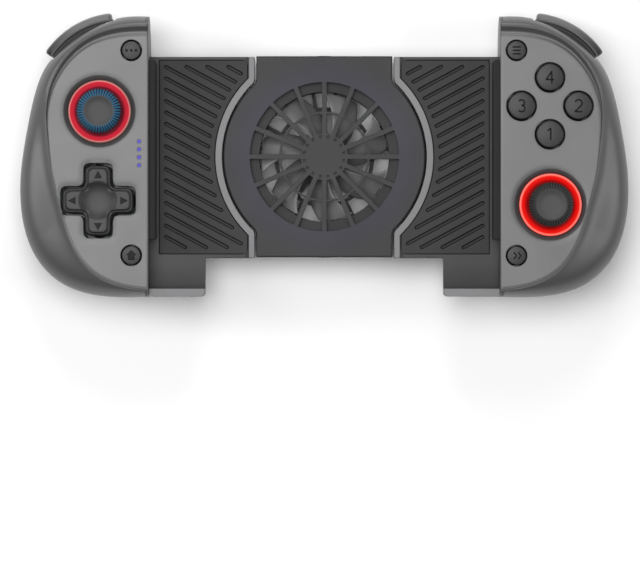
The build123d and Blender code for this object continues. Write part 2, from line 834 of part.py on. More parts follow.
def wing_outline(inner_x, outer_x, front_y, back_y, arc_radius, corner):
    """A plan between two X and two Y values, hollowed by an arc about the fan."""
    plan = Rectangle(outer_x - inner_x, back_y - front_y)
    plan = Pos((inner_x + outer_x) / 2, (front_y + back_y) / 2) * plan
    plan -= Pos(0, fan_y) * Circle(arc_radius)
    near = [v for v in plan.vertices() if v.X < inner_x + corner and abs(v.Y - fan_y) < arc_radius - corner]
    return fillet(near, corner)


def wing_plate():
    """The bed on a grip that the phone lies on, with the tray channel below and the ledge in front."""
    plan = wing_outline(wing_inner_x, grip_inner_x, wing_front_y, wing_back_y, wing_arc_radius, wing_corner)
    plate = prism(plan, wing_bottom, wing_top)
    ledge = box_between(ledge_inner_x, grip_inner_x, grip_front_y, wing_front_y, ledge_bottom, wing_top)
    wall_back_y = grip_front_y + ledge_wall
    wall = box_between(ledge_inner_x, grip_inner_x, grip_front_y, wall_back_y, ledge_bottom, ledge_wall_top)
    ledge += wall
    ends = ledge.edges().filter_by(Axis.Z).sort_by(Axis.X)[:2].sort_by(Axis.Y)[:1]
    ledge = fillet(ends, ledge_fillet)
    plate += ledge
    plate -= prism(pad_outline(0), wing_top - pad_recess, wing_top + overrun)
    plate -= tray_channel(0, grip_inner_x + overrun)
    slot_half = channel_half_width - wing_lip
    plate -= box_between(
        0, grip_inner_x + overrun, fan_y - slot_half, fan_y + slot_half, 0, channel_bottom + overrun,
    )
    return plate


def pad_outline(gap):
    return wing_outline(
        pad_inner_x + gap, pad_outer_x - gap, pad_front_y + gap, pad_back_y - gap,
        pad_arc_radius + gap, pad_corner,
    )


def pad_grooves():
    """Slanting slots across the pad, clipped a margin inside its outline."""
    outer = pad_outer_x - groove_margin
    field = wing_outline(
        pad_inner_x + groove_margin, outer, pad_front_y + groove_margin, pad_back_y - groove_margin,
        pad_arc_radius + groove_margin, pad_corner,
    )
    width = outer - pad_inner_x
    slots = Sketch()
    for number in range(groove_count):
        start_y = groove_top_y - number * groove_pitch
        middle_y = start_y - width / 2 * tan(radians(groove_slope))
        slot = Rot(0, 0, groove_slope) * Rectangle(2 * width, groove_width)
        slots += Pos(outer - width / 2, middle_y) * slot
    return slots & field


def pad():
    """The grooved pad let into a wing plate."""
    bottom = wing_top - pad_recess
    top = bottom + pad_thickness
    sheet = prism(pad_outline(pad_fit_gap), bottom, top)
    return sheet - prism(pad_grooves(), top - groove_depth, top + overrun)


def clamp_strip():
    """The rubber strip on a grip's inner wall that holds the phone's end."""
    strip = box_between(
        grip_inner_x - strip_thickness, grip_inner_x, strip_front_y, strip_back_y, strip_bottom, strip_top,
    )
    return fillet(strip.edges().filter_by(Axis.X, reverse=True).group_by(Axis.X)[0], strip_fillet)


# Centre: bridge frame, fan module and fan


def tray_profile(gap):
    """The tray's section across Y: a floor between two raised rails, grown by a gap."""
    half = tray_half_width + gap
    floor = Pos(0, (tray_bottom + tray_floor_top) / 2) * Rectangle(2 * half, tray_floor + 2 * gap)
    shape = floor
    for hand in (-1, 1):
        rail = Rectangle(rail_width + 2 * gap, tray_top - tray_bottom + 2 * gap)
        shape += Pos(hand * rail_middle, (tray_bottom + tray_top) / 2) * rail
    return shape


def tray_bar(gap, reach):
    """The tray's section carried from one end of the frame to the other."""
    plane = Plane(origin=(-reach, fan_y, 0), x_dir=(0, 1, 0), z_dir=(1, 0, 0))
    return plane * extrude(tray_profile(gap), amount=2 * reach)


def bridge_frame():
    """The frame that joins the fan module to the trays on which the grips slide."""
    centre = (0, fan_y)
    frame = tray_bar(0, tray_reach) + post(centre, frame_ring_outer_radius, tray_bottom, tray_top)
    frame -= post(centre, frame_ring_inner_radius, tray_bottom - overrun, tray_top + overrun)
    frame -= box_between(
        -fan_board_half_width - seat_gap, fan_board_half_width + seat_gap,
        port_front_y, fan_y - shroud_outer_radius + frame_ring_outer_radius - frame_ring_inner_radius,
        tray_bottom - overrun, tray_top + overrun,
    )
    for hand in (-1, 1):
        for x0, x1 in ((-tray_reach - overrun, -spring_inner_x), (spring_inner_x, tray_reach + overrun)):
            y = fan_y + hand * rail_middle
            frame -= bar_x(x0, x1, y, rail_axis_height, spring_radius + spring_bore_gap)
    return frame


def return_springs():
    """The two springs that draw a grip in, each in a rail of the tray."""
    springs = []
    for hand in (-1, 1):
        y = fan_y + hand * rail_middle
        springs.append(bar_x(spring_inner_x, channel_end + slide_gap, y, rail_axis_height, spring_radius))
    return Compound(children=springs)


def module_outline(inset):
    """The fan module's plan: a circle and a rectangle, with the hollows between them rounded."""
    plan = Circle(fan_body_radius - inset)
    plan += Rectangle(2 * (fan_body_half_width - inset), 2 * (fan_body_half_length - inset))
    hollows = [v for v in plan.vertices() if abs(abs(v.Y) - fan_body_half_length + inset) > fan_wall]
    plan = fillet(hollows, fan_body_fillet)
    return Pos(0, fan_y) * plan


def screw_places():
    return [(sx * centre_screw_x, fan_y + sy * centre_screw_y) for sx in (-1, 1) for sy in (-1, 1)]


def grille_openings():
    """The gaps between the spokes, the ring and the hub of the front grille."""
    gaps = Circle(grille_radius) - Circle(grille_hub_radius)
    half = grille_ring_width / 2
    gaps -= Circle(grille_ring_radius + half) - Circle(grille_ring_radius - half)
    for number in range(spoke_count // 2):
        spoke = Rectangle(2 * grille_radius + overrun, spoke_width)
        gaps -= Rot(0, 0, number * full_turn / spoke_count) * spoke
    return Pos(0, fan_y) * gaps


def rail_gap_box(bottom):
    """The space between the rails, from a height up to the parting plane of the module."""
    half = tray_half_width - rail_width - seat_gap
    return box_between(-tray_reach, tray_reach, fan_y - half, fan_y + half, bottom, fan_parting)


def fan_cover():
    """The fan module's upper half, with the grille; between the rails its wall reaches down to the tray."""
    cover = prism(module_outline(0), fan_parting, fan_top)
    cover = fillet(cover.faces().sort_by(Axis.Z)[-1].edges(), fan_edge_fillet)
    cover += prism(module_outline(0), tray_floor_top + seat_gap, fan_parting) & rail_gap_box(tray_floor_top)
    cover -= prism(module_outline(fan_wall), tray_bottom, cover_underside)
    cover += tube((0, fan_y), seat_ring_inner_radius, seat_ring_outer_radius, tray_top, cover_underside)
    for place in screw_places():
        cover += post(place, centre_boss_radius, fan_parting, cover_underside)
        cover -= post(place, centre_screw_radius + pin_gap, fan_parting - overrun, cover_underside)
    cover -= prism(grille_openings(), cover_underside - overrun, fan_top + overrun)
    for number in range(spoke_count):
        angle = (number + 1 / 2) * full_turn / spoke_count
        place = polar((0, fan_y), hub_dot_circle, angle)
        cover -= post(place, hub_dot_radius, fan_top - hub_dot_depth, fan_top + overrun)
    cover -= tray_bar(seat_gap, tray_reach)
    cover -= port_opening(0, port_front_y - overrun, fan_parting, fan_wall + 2 * overrun)
    return cover


def vent_comb():
    """The row of round-topped notches along the front of the base."""
    notches = []
    for number in range(vent_count):
        x = (number - (vent_count - 1) / 2) * vent_pitch
        top = fan_bottom + vent_height - vent_width / 2
        y0 = port_front_y - overrun
        y1 = port_front_y + fan_wall + overrun
        notch = box_between(x - vent_width / 2, x + vent_width / 2, y0, y1, fan_bottom - overrun, top)
        notches.append(notch + bar_y(x, y0, y1, top, vent_width / 2))
    return notches


def fan_base():
    """The fan module's lower half, with the air hole, the seats for the frame and the vents."""
    base = prism(module_outline(0), fan_bottom, fan_parting)
    base = chamfer(base.faces().sort_by(Axis.Z)[0].edges(), fan_foot_chamfer)
    base -= prism(module_outline(fan_wall), base_floor, fan_parting + overrun)
    base -= rail_gap_box(tray_floor_top)
    base -= post((0, fan_y), shroud_inner_radius, fan_bottom - overrun, base_floor + overrun)
    base += tube((0, fan_y), seat_ring_inner_radius, seat_ring_outer_radius, base_floor, tray_bottom)
    for hand in (-1, 1):
        place = (hand * fan_post_x, port_front_y + fan_wall + fan_board_length / 2)
        base += post(place, fan_post_radius, base_floor, fan_board_bottom())
    for place in screw_places():
        base += post(place, centre_boss_radius, fan_bottom, fan_parting)
        base -= post(place, centre_screw_radius + pin_gap, fan_bottom - overrun, fan_parting + overrun)
        seat = fan_bottom + centre_head_depth + centre_head_height
        base -= post(place, centre_head_radius + seat_gap, fan_bottom - overrun, seat)
    for notch in vent_comb():
        base -= notch
    base -= tray_bar(seat_gap, tray_reach)
    base -= port_opening(0, port_front_y - overrun, fan_parting, fan_wall + 2 * overrun)
    return base


def fan_board_bottom():
    return fan_parting - port_height / 2 - fan_board_thickness


def fan_board():
    """The small board that carries the fan's socket."""
    y0 = port_front_y + fan_wall + seat_gap
    return box_between(
        -fan_board_half_width, fan_board_half_width, y0, y0 + fan_board_length,
        fan_board_bottom(), fan_board_bottom() + fan_board_thickness,
    )


def fan_frame():
    """The fan's duct with its rear ring, forked struts and the disc that holds the motor."""
    centre = (0, fan_y)
    half = rear_guard_ring_width / 2
    guard = tube(centre, rear_guard_ring_radius - half, rear_guard_ring_radius + half, base_floor, guard_top)
    guard += post(centre, motor_disc_radius, base_floor, guard_top)
    inner_length = rear_guard_ring_radius - motor_disc_radius + 2 * half
    fork_length = shroud_inner_radius - rear_guard_ring_radius + 2 * half
    for number in range(rear_guard_strut_count):
        angle = full_turn / 4 + number * full_turn / rear_guard_strut_count
        stem = box_between(
            motor_disc_radius - half, motor_disc_radius - half + inner_length,
            -rear_guard_strut_width / 2, rear_guard_strut_width / 2, base_floor, guard_top,
        )
        guard += Pos(0, fan_y, 0) * Rot(0, 0, angle) * stem
        for hand in (-1, 1):
            fork = box_between(
                rear_guard_ring_radius - half, rear_guard_ring_radius - half + fork_length,
                -rear_guard_fork_width / 2, rear_guard_fork_width / 2, base_floor, guard_top,
            )
            guard += Pos(0, fan_y, 0) * Rot(0, 0, angle + hand * rear_guard_fork_angle) * fork
    guard += tube(centre, shroud_inner_radius, shroud_outer_radius, base_floor, cover_underside - seat_gap)
    return guard - post(centre, bush_outer_radius + pin_gap, guard_top - bush_depth, guard_top + overrun)


def motor_stator():
    return tube((0, fan_y), bush_outer_radius + pin_gap, stator_outer_radius, guard_top, stator_top)


def fan_bush():
    return tube((0, fan_y), rotor_shaft_radius + pin_gap, bush_outer_radius, guard_top - bush_depth, bush_top)


def fan_light_ring():
    bottom = cover_underside - light_ring_thickness
    return tube((0, fan_y), light_ring_inner_radius, light_ring_outer_radius, bottom, cover_underside)


def fan_rotor():
    """Hub cup, shaft and pitched blades in one piece."""
    centre = (0, fan_y)
    length = rotor_tip_radius - rotor_hub_radius + 2 * rotor_hub_wall
    swept = tube((0, 0), rotor_hub_radius - rotor_hub_wall / 2, rotor_tip_radius, blade_bottom, blade_top)
    middle = (blade_bottom + blade_top) / 2
    blade = Pos(rotor_hub_radius - rotor_hub_wall + length / 2, 0, middle) * Rot(blade_pitch, 0, 0)
    blade = (blade * Box(length, blade_chord, blade_thickness)) & swept
    rotor = post((0, 0), rotor_hub_radius, rotor_hub_bottom, rotor_hub_top)
    for number in range(blade_count):
        rotor += Rot(0, 0, number * full_turn / blade_count) * blade
    rotor -= post((0, 0), rotor_hub_radius - rotor_hub_wall, 0, rotor_hub_top - rotor_hub_wall)
    rotor += post((0, 0), rotor_shaft_radius, guard_top - bush_depth / 2, rotor_hub_top)
    return Pos(centre[0], centre[1], 0) * rotor


def centre_screws():
    """The four screws of the fan module, put in from the back."""
    screws = []
    seat = fan_bottom + centre_head_depth + centre_head_height
    for place in screw_places():
        head = post(place, centre_head_radius, fan_bottom + centre_head_depth, seat)
        slot = Pos(place[0], place[1], fan_bottom + centre_head_depth) * Box(
            centre_head_radius, centre_screw_radius / 2, centre_head_height
        )
        rod = post(place, centre_screw_radius, seat, cover_underside - centre_screw_end_gap)
        screws.append(head - slot + rod)
    return Compound(children=screws)


# Thumb sticks


def stick_box(place):
    """The fixed housing of a stick, open at the top, with the bearings of the yoke."""
    half = stick_box_width / 2
    x, y = place
    box = box_between(x - half, x + half, y - half, y + half, board_top, stick_box_top)
    box = fillet(box.edges().filter_by(Axis.Z), stick_cup_floor)
    box -= post(place, stick_cup_radius, board_top + stick_cup_floor, stick_box_top + overrun)
    reach = half + overrun
    return box - bar_x(x - reach, x + reach, y, stick_pivot_height, trunnion_radius + pin_gap)


def yoke(place, height, outer, inner, half_height, trunnion, reach, cross_pin):
    """A ring that tips about X on two trunnions and carries a cross pin along Y."""
    x, y = place
    ring = post(place, outer, height - half_height, height + half_height)
    ring += bar_x(x - reach, x + reach, y, height, trunnion)
    ring -= post(place, inner, height - half_height - trunnion, height + half_height + trunnion)
    return ring - bar_y(x, y - outer - overrun, y + outer + overrun, height, cross_pin + pin_gap)


def stick_yoke(place):
    return yoke(
        place, stick_pivot_height, yoke_outer_radius, yoke_inner_radius, yoke_half_height,
        trunnion_radius, trunnion_reach, cross_pin_radius,
    )


def stick_rod(place):
    """The stick's steel rod with its cross pin."""
    x, y = place
    rod = post(place, stick_rod_radius, stick_rod_bottom, stick_rod_top)
    return rod + bar_y(x, y - cross_pin_reach, y + cross_pin_reach, stick_pivot_height, cross_pin_radius)


def stick_ring(place):
    """The lit bowl round a stick, with a flange under the face."""
    lip_height = face_height - ring_lip_drop
    profile = (
        (ring_bore_radius, face_underside - ring_flange_thickness), (ring_bore_radius, ring_bore_height),
        (ring_radius - ring_lip_width, lip_height), (ring_radius, lip_height), (ring_radius, face_underside),
        (ring_flange_radius, face_underside), (ring_flange_radius, face_underside - ring_flange_thickness),
    )
    return Pos(place[0], place[1], 0) * turned(profile)


def dome_point(radius, angle):
    """A point of a stick's dome in the turning plane, at an angle from straight up."""
    return (radius * sin(radians(angle)), 0, stick_pivot_height + radius * cos(radians(angle)))


def stick_cap(place):
    """A stick's rubber cap: dished head, neck, and the dome that closes the bowl below it."""
    head_bottom = cap_top - cap_thickness
    dish_floor = cap_top - cap_dish_depth
    neck_angle = degrees(atan2(cap_neck_radius, sqrt(dome_radius ** 2 - cap_neck_radius ** 2)))
    inner = dome_radius - dome_wall
    head = Polyline(
        dome_point(inner, 0), (0, 0, dish_floor), (cap_dish_radius, 0, dish_floor),
        (cap_dish_radius + cap_dish_slope, 0, cap_top), (cap_radius - cap_edge, 0, cap_top),
        (cap_radius, 0, cap_top - cap_edge), (cap_radius, 0, head_bottom + cap_edge),
        (cap_radius - cap_edge, 0, head_bottom), (cap_neck_radius + cap_neck_flare, 0, head_bottom),
        (cap_neck_radius, 0, head_bottom - cap_neck_flare), dome_point(dome_radius, neck_angle),
    )
    outside = ThreePointArc(
        dome_point(dome_radius, neck_angle), dome_point(dome_radius, (neck_angle + dome_angle) / 2),
        dome_point(dome_radius, dome_angle),
    )
    edge = Line(dome_point(dome_radius, dome_angle), dome_point(inner, dome_angle))
    inside = ThreePointArc(
        dome_point(inner, dome_angle), dome_point(inner, dome_angle / 2), dome_point(inner, 0),
    )
    cap = revolve(make_face(head + outside + edge + inside), axis=Axis.Z)
    bore_top = stick_rod_top + stick_press + rod_bore_gap
    cap -= post((0, 0), stick_rod_radius + pin_gap, stick_pivot_height, bore_top)
    return Pos(place[0], place[1], 0) * cap


# D-pad


def dpad_post():
    """The fixed post under the D-pad, with the bearings of its yoke."""
    x, y = dpad_place
    shape = post(dpad_place, dpad_post_radius, board_top, dpad_post_top)
    shape -= post(dpad_place, dpad_cup_radius, dpad_cup_floor, dpad_post_top + overrun)
    reach = dpad_post_radius + overrun
    return shape - bar_x(x - reach, x + reach, y, dpad_pivot_height, dpad_trunnion_radius + pin_gap)


def dpad_yoke():
    return yoke(
        dpad_place, dpad_pivot_height, dpad_yoke_outer_radius, dpad_yoke_inner_radius, dpad_yoke_half_height,
        dpad_trunnion_radius, dpad_trunnion_reach, dpad_cross_pin_radius,
    )


def dpad():
    """The cross with its dished middle, its stem with the cross pin and a leg under each arm."""
    x, y = dpad_place
    body = prism(cross_outline(dpad_place, dpad_span, dpad_arm_width, dpad_corner), dpad_bottom, dpad_top)
    body = chamfer(body.faces().sort_by(Axis.Z)[-1].edges(), dpad_edge)
    ball = (dpad_dish_radius ** 2 + dpad_dish_depth ** 2) / (2 * dpad_dish_depth)
    body -= Pos(x, y, dpad_top - dpad_dish_depth + ball) * Sphere(ball)
    body += post(dpad_place, stick_rod_radius, dpad_stem_bottom, dpad_bottom)
    reach = dpad_yoke_outer_radius - pin_gap
    body += bar_y(x, y - reach, y + reach, dpad_pivot_height, dpad_cross_pin_radius)
    for place in dpad_leg_places():
        body += post(place, dpad_leg_radius, button_stem_bottom, dpad_bottom)
    return body


def dpad_leg_places():
    return [polar(dpad_place, dpad_leg_circle, quarter * full_turn / 4) for quarter in range(4)]


# Buttons and their rubber domes


def round_button(place, radius, top):
    """A round button with a rounded crown, a flange under the face and a stem."""
    cap = post(place, radius, face_underside - button_flange_thickness, top)
    cap = fillet(cap.edges().sort_by(Axis.Z)[-1:], button_edge)
    flange_top = face_underside - seat_gap
    flange_radius = radius + button_gap + button_flange
    flange = post(place, flange_radius, flange_top - button_flange_thickness, flange_top)
    wall_side = grip_inner_x + shell_wall + seat_gap
    flange -= box_between(0, wall_side, -grip_length, grip_length, 0, rim_top)
    return cap + flange + post(place, button_stem_radius, button_stem_bottom, flange_top)


def rubber_domes(button_places):
    """Rubber domes on the board, one under each stem: (place, travel) pairs."""
    domes = []
    for place, travel in button_places:
        tip = button_stem_bottom - travel - rubber_gap
        profile = ((0, board_top), (dome_base_radius, board_top), (dome_tip_radius, tip), (0, tip))
        domes.append(Pos(place[0], place[1], 0) * turned(profile))
    return Compound(children=domes)


def face_button_places():
    """Back, outer, front and inner face button of the right grip."""
    return {
        "back": polar(face_button_centre, face_button_circle, 90),
        "outer": polar(face_button_centre, face_button_circle, 0),
        "front": polar(face_button_centre, face_button_circle, -90),
        "inner": polar(face_button_centre, face_button_circle, 180),
    }


def light_pipes():
    """The four clear pipes of the indicator lights, joined by a bar under the face."""
    front_y = light_back_y - (light_count - 1) * light_pitch
    half = light_bar_width / 2
    bar = box_between(
        light_x - half, light_x + half, front_y - half, light_back_y + half,
        face_underside - light_bar_drop, face_underside,
    )
    for number in range(light_count):
        place = (light_x, light_back_y - number * light_pitch)
        bar += post(place, light_radius, face_underside - light_bar_drop, face_height - light_sink)
    return bar


# Shoulder buttons


def trigger():
    """The lower shoulder button: an outer plate and the arm that holds the hinge pin."""
    start = shoulder_start + shoulder_side_gap
    end = shoulder_end - shoulder_side_gap
    plate = sector(trigger_inner_radius, trigger_outer_radius, start, end, trigger_bottom, trigger_top)
    arm = sector(trigger_arm_radius, trigger_outer_radius, start, end, trigger_arm_bottom, trigger_top)
    shape = plate + arm
    return fillet(edges_on_arc(shape, trigger_outer_radius), trigger_edge) - trigger_pin(pin_gap)


def distance_from_shoulder(point):
    return sqrt((point.X - shoulder_centre[0]) ** 2 + (point.Y - shoulder_centre[1]) ** 2)


def edges_on_arc(shape, radius):
    """The edges whose ends lie, on average, at a radius about the shoulder centre."""
    found = []
    for edge in shape.edges():
        reach = (distance_from_shoulder(edge @ 0) + distance_from_shoulder(edge @ 1)) / 2
        if abs(reach - radius) < edge_tolerance:
            found.append(edge)
    return found


def bumper():
    """The upper shoulder button, which swings about its upright pin."""
    start = shoulder_start + shoulder_side_gap
    end = shoulder_end - shoulder_side_gap
    shape = sector(bumper_inner_radius, bumper_outer_radius, start, end, bumper_bottom, bumper_top)
    shape = fillet(edges_on_arc(shape, bumper_outer_radius), bumper_edge)
    return shape - bumper_pin(pin_gap, bumper_bottom - overrun, bumper_top + overrun)


def shoulder_pins():
    """The hinge pins of the trigger and the bumper."""
    return Compound(children=[trigger_pin(0), bumper_pin(0, bumper_bottom, pocket_top + bumper_pin_embed)])


def build_grip(side, name):
    """The pieces that both grips have."""
    stick = left_stick_place if side < 0 else right_stick_place
    save(f"{name}_wing_plate", on_side(wing_plate(), side))
    save(f"{name}_pad", on_side(pad(), side))
    save(f"{name}_clamp_strip", on_side(clamp_strip(), side))
    save(f"{name}_return_springs", on_side(return_springs(), side))
    save(f"{name}_board", on_side(board(), side))
    save(f"{name}_grip_screws", on_side(grip_screws(), side))
    save(f"{name}_stick_ring", on_side(stick_ring(stick), side))
    save(f"{name}_stick_box", on_side(stick_box(stick), side))
    save(f"{name}_stick_yoke", on_side(stick_yoke(stick), side))
    save(f"{name}_stick_rod", on_side(stick_rod(stick), side))
    save(f"{name}_stick_cap", on_side(stick_cap(stick), side))
    save(f"{name}_bumper", on_side(bumper(), side))
    save(f"{name}_trigger", on_side(trigger(), side))
    save(f"{name}_shoulder_pins", on_side(shoulder_pins(), side))


def build_left():
    """The left grip's own pieces."""
    small = (more_place, home_place)
    save("left_front_shell", on_side(front_shell(left_stick_place, small, (), True, True), -1))
    save("left_rear_shell", on_side(rear_shell(True), -1))
    save("left_usb_port", on_side(grip_port(), -1))
    save("left_battery", on_side(battery(), -1))
    save("left_light_pipes", on_side(light_pipes(), -1))
    save("dpad_post", on_side(dpad_post(), -1))
    save("dpad_yoke", on_side(dpad_yoke(), -1))
    save("dpad", on_side(dpad(), -1))
    save("more_button", on_side(round_button(more_place, small_button_radius, small_button_top), -1))
    save("home_button", on_side(round_button(home_place, small_button_radius, small_button_top), -1))
    domes = [(place, small_button_travel) for place in small]
    domes += [(place, dpad_travel) for place in dpad_leg_places()]
    save("left_rubber_domes", on_side(rubber_domes(domes), -1))


def build_right():
    """The right grip's own pieces."""
    small = (menu_place, turbo_place)
    places = face_button_places()
    save("right_front_shell", front_shell(right_stick_place, small, places.values(), False, False))
    save("right_rear_shell", rear_shell(False))
    for name, place in places.items():
        save(f"{name}_face_button", round_button(place, face_button_radius, face_button_top))
    save("rumble_motor", rumble_motor())
    save("menu_button", round_button(menu_place, small_button_radius, small_button_top))
    save("turbo_button", round_button(turbo_place, small_button_radius, small_button_top))
    domes = [(place, face_button_travel) for place in places.values()]
    domes += [(place, small_button_travel) for place in small]
    save("right_rubber_domes", rubber_domes(domes))


def build_centre():
    """The bridge frame and the fan module."""
    save("bridge_frame", bridge_frame())
    save("fan_cover", fan_cover())
    save("fan_base", fan_base())
    save("fan_frame", fan_frame())
    save("fan_motor_stator", motor_stator())
    save("fan_bush", fan_bush())
    save("fan_rotor", fan_rotor())
    save("fan_light_ring", fan_light_ring())
    save("fan_board", fan_board())
    save("fan_usb_port", port_body(0, port_front_y + port_inset, fan_parting))
    save("centre_screws", centre_screws())


os.makedirs("parts", exist_ok=True)
build_centre()
build_grip(-1, "left")
build_grip(1, "right")
build_left()
build_right()
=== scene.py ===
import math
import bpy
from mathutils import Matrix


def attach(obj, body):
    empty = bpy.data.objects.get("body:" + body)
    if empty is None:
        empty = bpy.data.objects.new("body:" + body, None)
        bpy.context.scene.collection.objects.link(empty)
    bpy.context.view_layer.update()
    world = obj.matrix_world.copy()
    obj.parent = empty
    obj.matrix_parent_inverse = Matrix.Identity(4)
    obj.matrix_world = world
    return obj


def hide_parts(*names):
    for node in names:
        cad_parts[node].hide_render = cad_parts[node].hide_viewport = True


bl_info = {
    "name": "Phone grip with a cooling fan",
    "version": (1, 0, 0),
    "blender": (4, 5, 0),
    "location": "3D View > Sidebar > Phone grip",
    "description": "Dresses the phone grip: rounded shells, grooved pads, lit sticks, buttons and the fan",
    "category": "Object",
}

import bmesh
import bpy
import numpy as np
from bpy.props import FloatProperty, FloatVectorProperty, IntProperty, PointerProperty
from mathutils import Vector
from mathutils.geometry import delaunay_2d_cdt

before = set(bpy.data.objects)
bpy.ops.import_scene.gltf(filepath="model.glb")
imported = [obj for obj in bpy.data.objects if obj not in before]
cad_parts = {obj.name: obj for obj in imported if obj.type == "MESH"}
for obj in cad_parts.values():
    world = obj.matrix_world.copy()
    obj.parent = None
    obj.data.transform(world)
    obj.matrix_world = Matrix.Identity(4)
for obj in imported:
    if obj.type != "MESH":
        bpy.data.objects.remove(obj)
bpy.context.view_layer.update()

MM = 0.001
WELD = 2e-6                   # points closer than this, in metres, are one
MATERIALS = {}                # filled by main, and read when a piece is made

# Places and sizes in millimetres for the right grip, most of which the solids share.
# The left grip and what it carries are mirrored.
FAN = (0.0, -0.85)            # centre of the fan in the plan
SHOULDER = (66.0, 16.7)       # centre of the arcs that the shoulder buttons follow
GRIP_INNER_X = 56.3
GRIP_WIDTH = 41.65
GRIP_LENGTH = 89.87
GRIP_MIDDLE_Y = -0.935
GRIP_FRONT_Y = GRIP_MIDDLE_Y - GRIP_LENGTH / 2
PARTING = 20.0
FACE = 31.5
LEFT_STICK = (72.0, 13.4)
RIGHT_STICK = (72.4, -16.5)
DPAD = (72.4, -15.2)
LEFT_SMALL_BUTTONS = {"more_button": (61.8, 32.9), "home_button": (61.8, -32.7)}
RIGHT_SMALL_BUTTONS = {"menu_button": (61.5, 32.9), "turbo_button": (61.5, -32.8)}
FACE_BUTTONS = {
    "back_face_button": (72.2, 24.25), "outer_face_button": (81.3, 15.15), "front_face_button": (72.2, 6.05),
    "inner_face_button": (63.1, 15.15),
}
DIGITS = {"front_face_button": 1, "outer_face_button": 2, "inner_face_button": 3, "back_face_button": 4}
LIGHTS = [(59.3, 3.75 - 2.54 * number) for number in range(4)]
SCREWS = ((61.0, 25.2), (60.3, -25.6), (86.0, -2.0))
TRAY_HALF_WIDTH = 20.85       # of the tray's opening in a grip's inner wall
TRAY_HEIGHTS = (8.15, 14.85)
PORT_PLACE = (66.0, 8.2)      # X and Z of the charge port's middle
PORT_HALF_SIZE = (4.72, 1.83)
FACE_BUTTON = (4.5, 33.3, 0.65)     # radius, top and the edge's radius
SMALL_BUTTON = (3.05, 32.1, 0.35)
SMALL_CROWN = 0.25            # how far a small button's middle stands above its edge
DIGIT_SCALE = 1.12            # of the numbers on the face buttons
FACE_HOLE = 4.9               # radii of the shells' holes
SMALL_HOLE = 3.45
LIGHT_HOLE = 0.62
SCREW_HOLE = 2.2
DPAD_HOLE = (12.05, 4.7)      # half the span of the cross, and half the width of an arm

# The stage, in metres: each softbox has its place, its size and its share of the power
CAMERA_PLACE = (-0.0014, -0.0417)
SOFTBOXES = (
    ("softbox_key", (-0.16, 0.14, 1.3), 0.9, 0.86), ("softbox_left", (-1.2, 0.15, 0.85), 0.7, 0.5),
    ("softbox_right", (1.2, -0.1, 0.85), 0.7, 0.4), ("softbox_back", (0.0, 1.2, 0.8), 0.7, 0.5),
)
FLOOR_GAP = 0.02              # millimetres between the part and the floor

# Settings


def length(name, description, default):
    return FloatProperty(name=name, description=description, default=default, unit="LENGTH", precision=5)


def shade(name, description, default):
    return FloatVectorProperty(
        name=name, description=description, default=default, subtype="COLOR_GAMMA", size=3, min=0.0, max=1.0
    )


class GripShellSettings(bpy.types.PropertyGroup):
    rim_rise: length("Rim rise", "How far the rim at the shoulder stands above the face", 0.0008)
    valley_depth: length("Valley depth", "Depth of the valley inside the rim", 0.0005)
    flank_drop: length("Flank drop", "Drop from the face's sharp edge to the flank at the front", 0.0027)
    seam: length("Seam", "Width of the seam between the two shells", 0.00022)
    hollow_depth: length("Hollow depth", "Depth of the soft hollow round the stick and the D-pad", 0.0002)


class PadSettings(bpy.types.PropertyGroup):
    slot_width: length("Slot width", "Width of a slot at the pad's face", 0.00124)
    slot_floor: length("Slot floor", "Width of a slot's floor", 0.00056)
    slot_depth: length("Slot depth", "Depth of a slot", 0.0006)
    pitch: length("Pitch", "Distance from slot to slot along Y", 0.00365)
    slope: FloatProperty(
        name="Slope", description="Angle of the slots", default=math.radians(28.4), subtype="ANGLE"
    )


class StickSettings(bpy.types.PropertyGroup):
    teeth: IntProperty(name="Teeth", description="Number of teeth round a stick's cap", default=44, min=8)
    tooth_depth: length("Tooth depth", "Depth of the notches between the teeth", 0.00035)
    dish_depth: length("Dish depth", "Depth of the hollow in a stick's cap", 0.0009)


class ButtonSettings(bpy.types.PropertyGroup):
    crown: length("Crown", "How far a face button's middle stands above its edge", 0.00045)
    mark_width: length("Mark width", "Width of the lines of a mark", 0.00052)
    dpad_dish: length("D-pad dish", "Depth of the hollow in the D-pad", 0.0011)


class FanSettings(bpy.types.PropertyGroup):
    blades: IntProperty(name="Blades", description="Number of fan blades", default=7, min=3)
    sweep: FloatProperty(
        name="Sweep", description="How far a blade leans round from hub to tip", default=math.radians(24),
        subtype="ANGLE",
    )


class FinishSettings(bpy.types.PropertyGroup):
    shell: shade("Shell", "Grip shells", (0.36, 0.36, 0.362))
    cover: shade("Cover", "Fan cover", (0.15, 0.15, 0.157))
    pad: shade("Pad", "Grooved pads", (0.235, 0.235, 0.238))
    button: shade("Button", "Buttons and D-pad", (0.17, 0.17, 0.173))
    trigger: shade("Trigger", "Shoulder triggers", (0.40, 0.40, 0.403))
    cap: shade("Cap", "Stick caps", (0.27, 0.27, 0.27))


class StageSettings(bpy.types.PropertyGroup):
    camera_distance: length("Camera distance", "From the grips' faces to the camera", 2.0)
    focal_length: FloatProperty(name="Focal length", description="Lens in millimetres", default=351.56)
    softbox_power: FloatProperty(
        name="Softbox power", description="Power of the four softboxes", default=13.0, unit="POWER"
    )
    sky: FloatProperty(name="Sky", description="Strength of the light from all round", default=0.16)


# Curves and grids


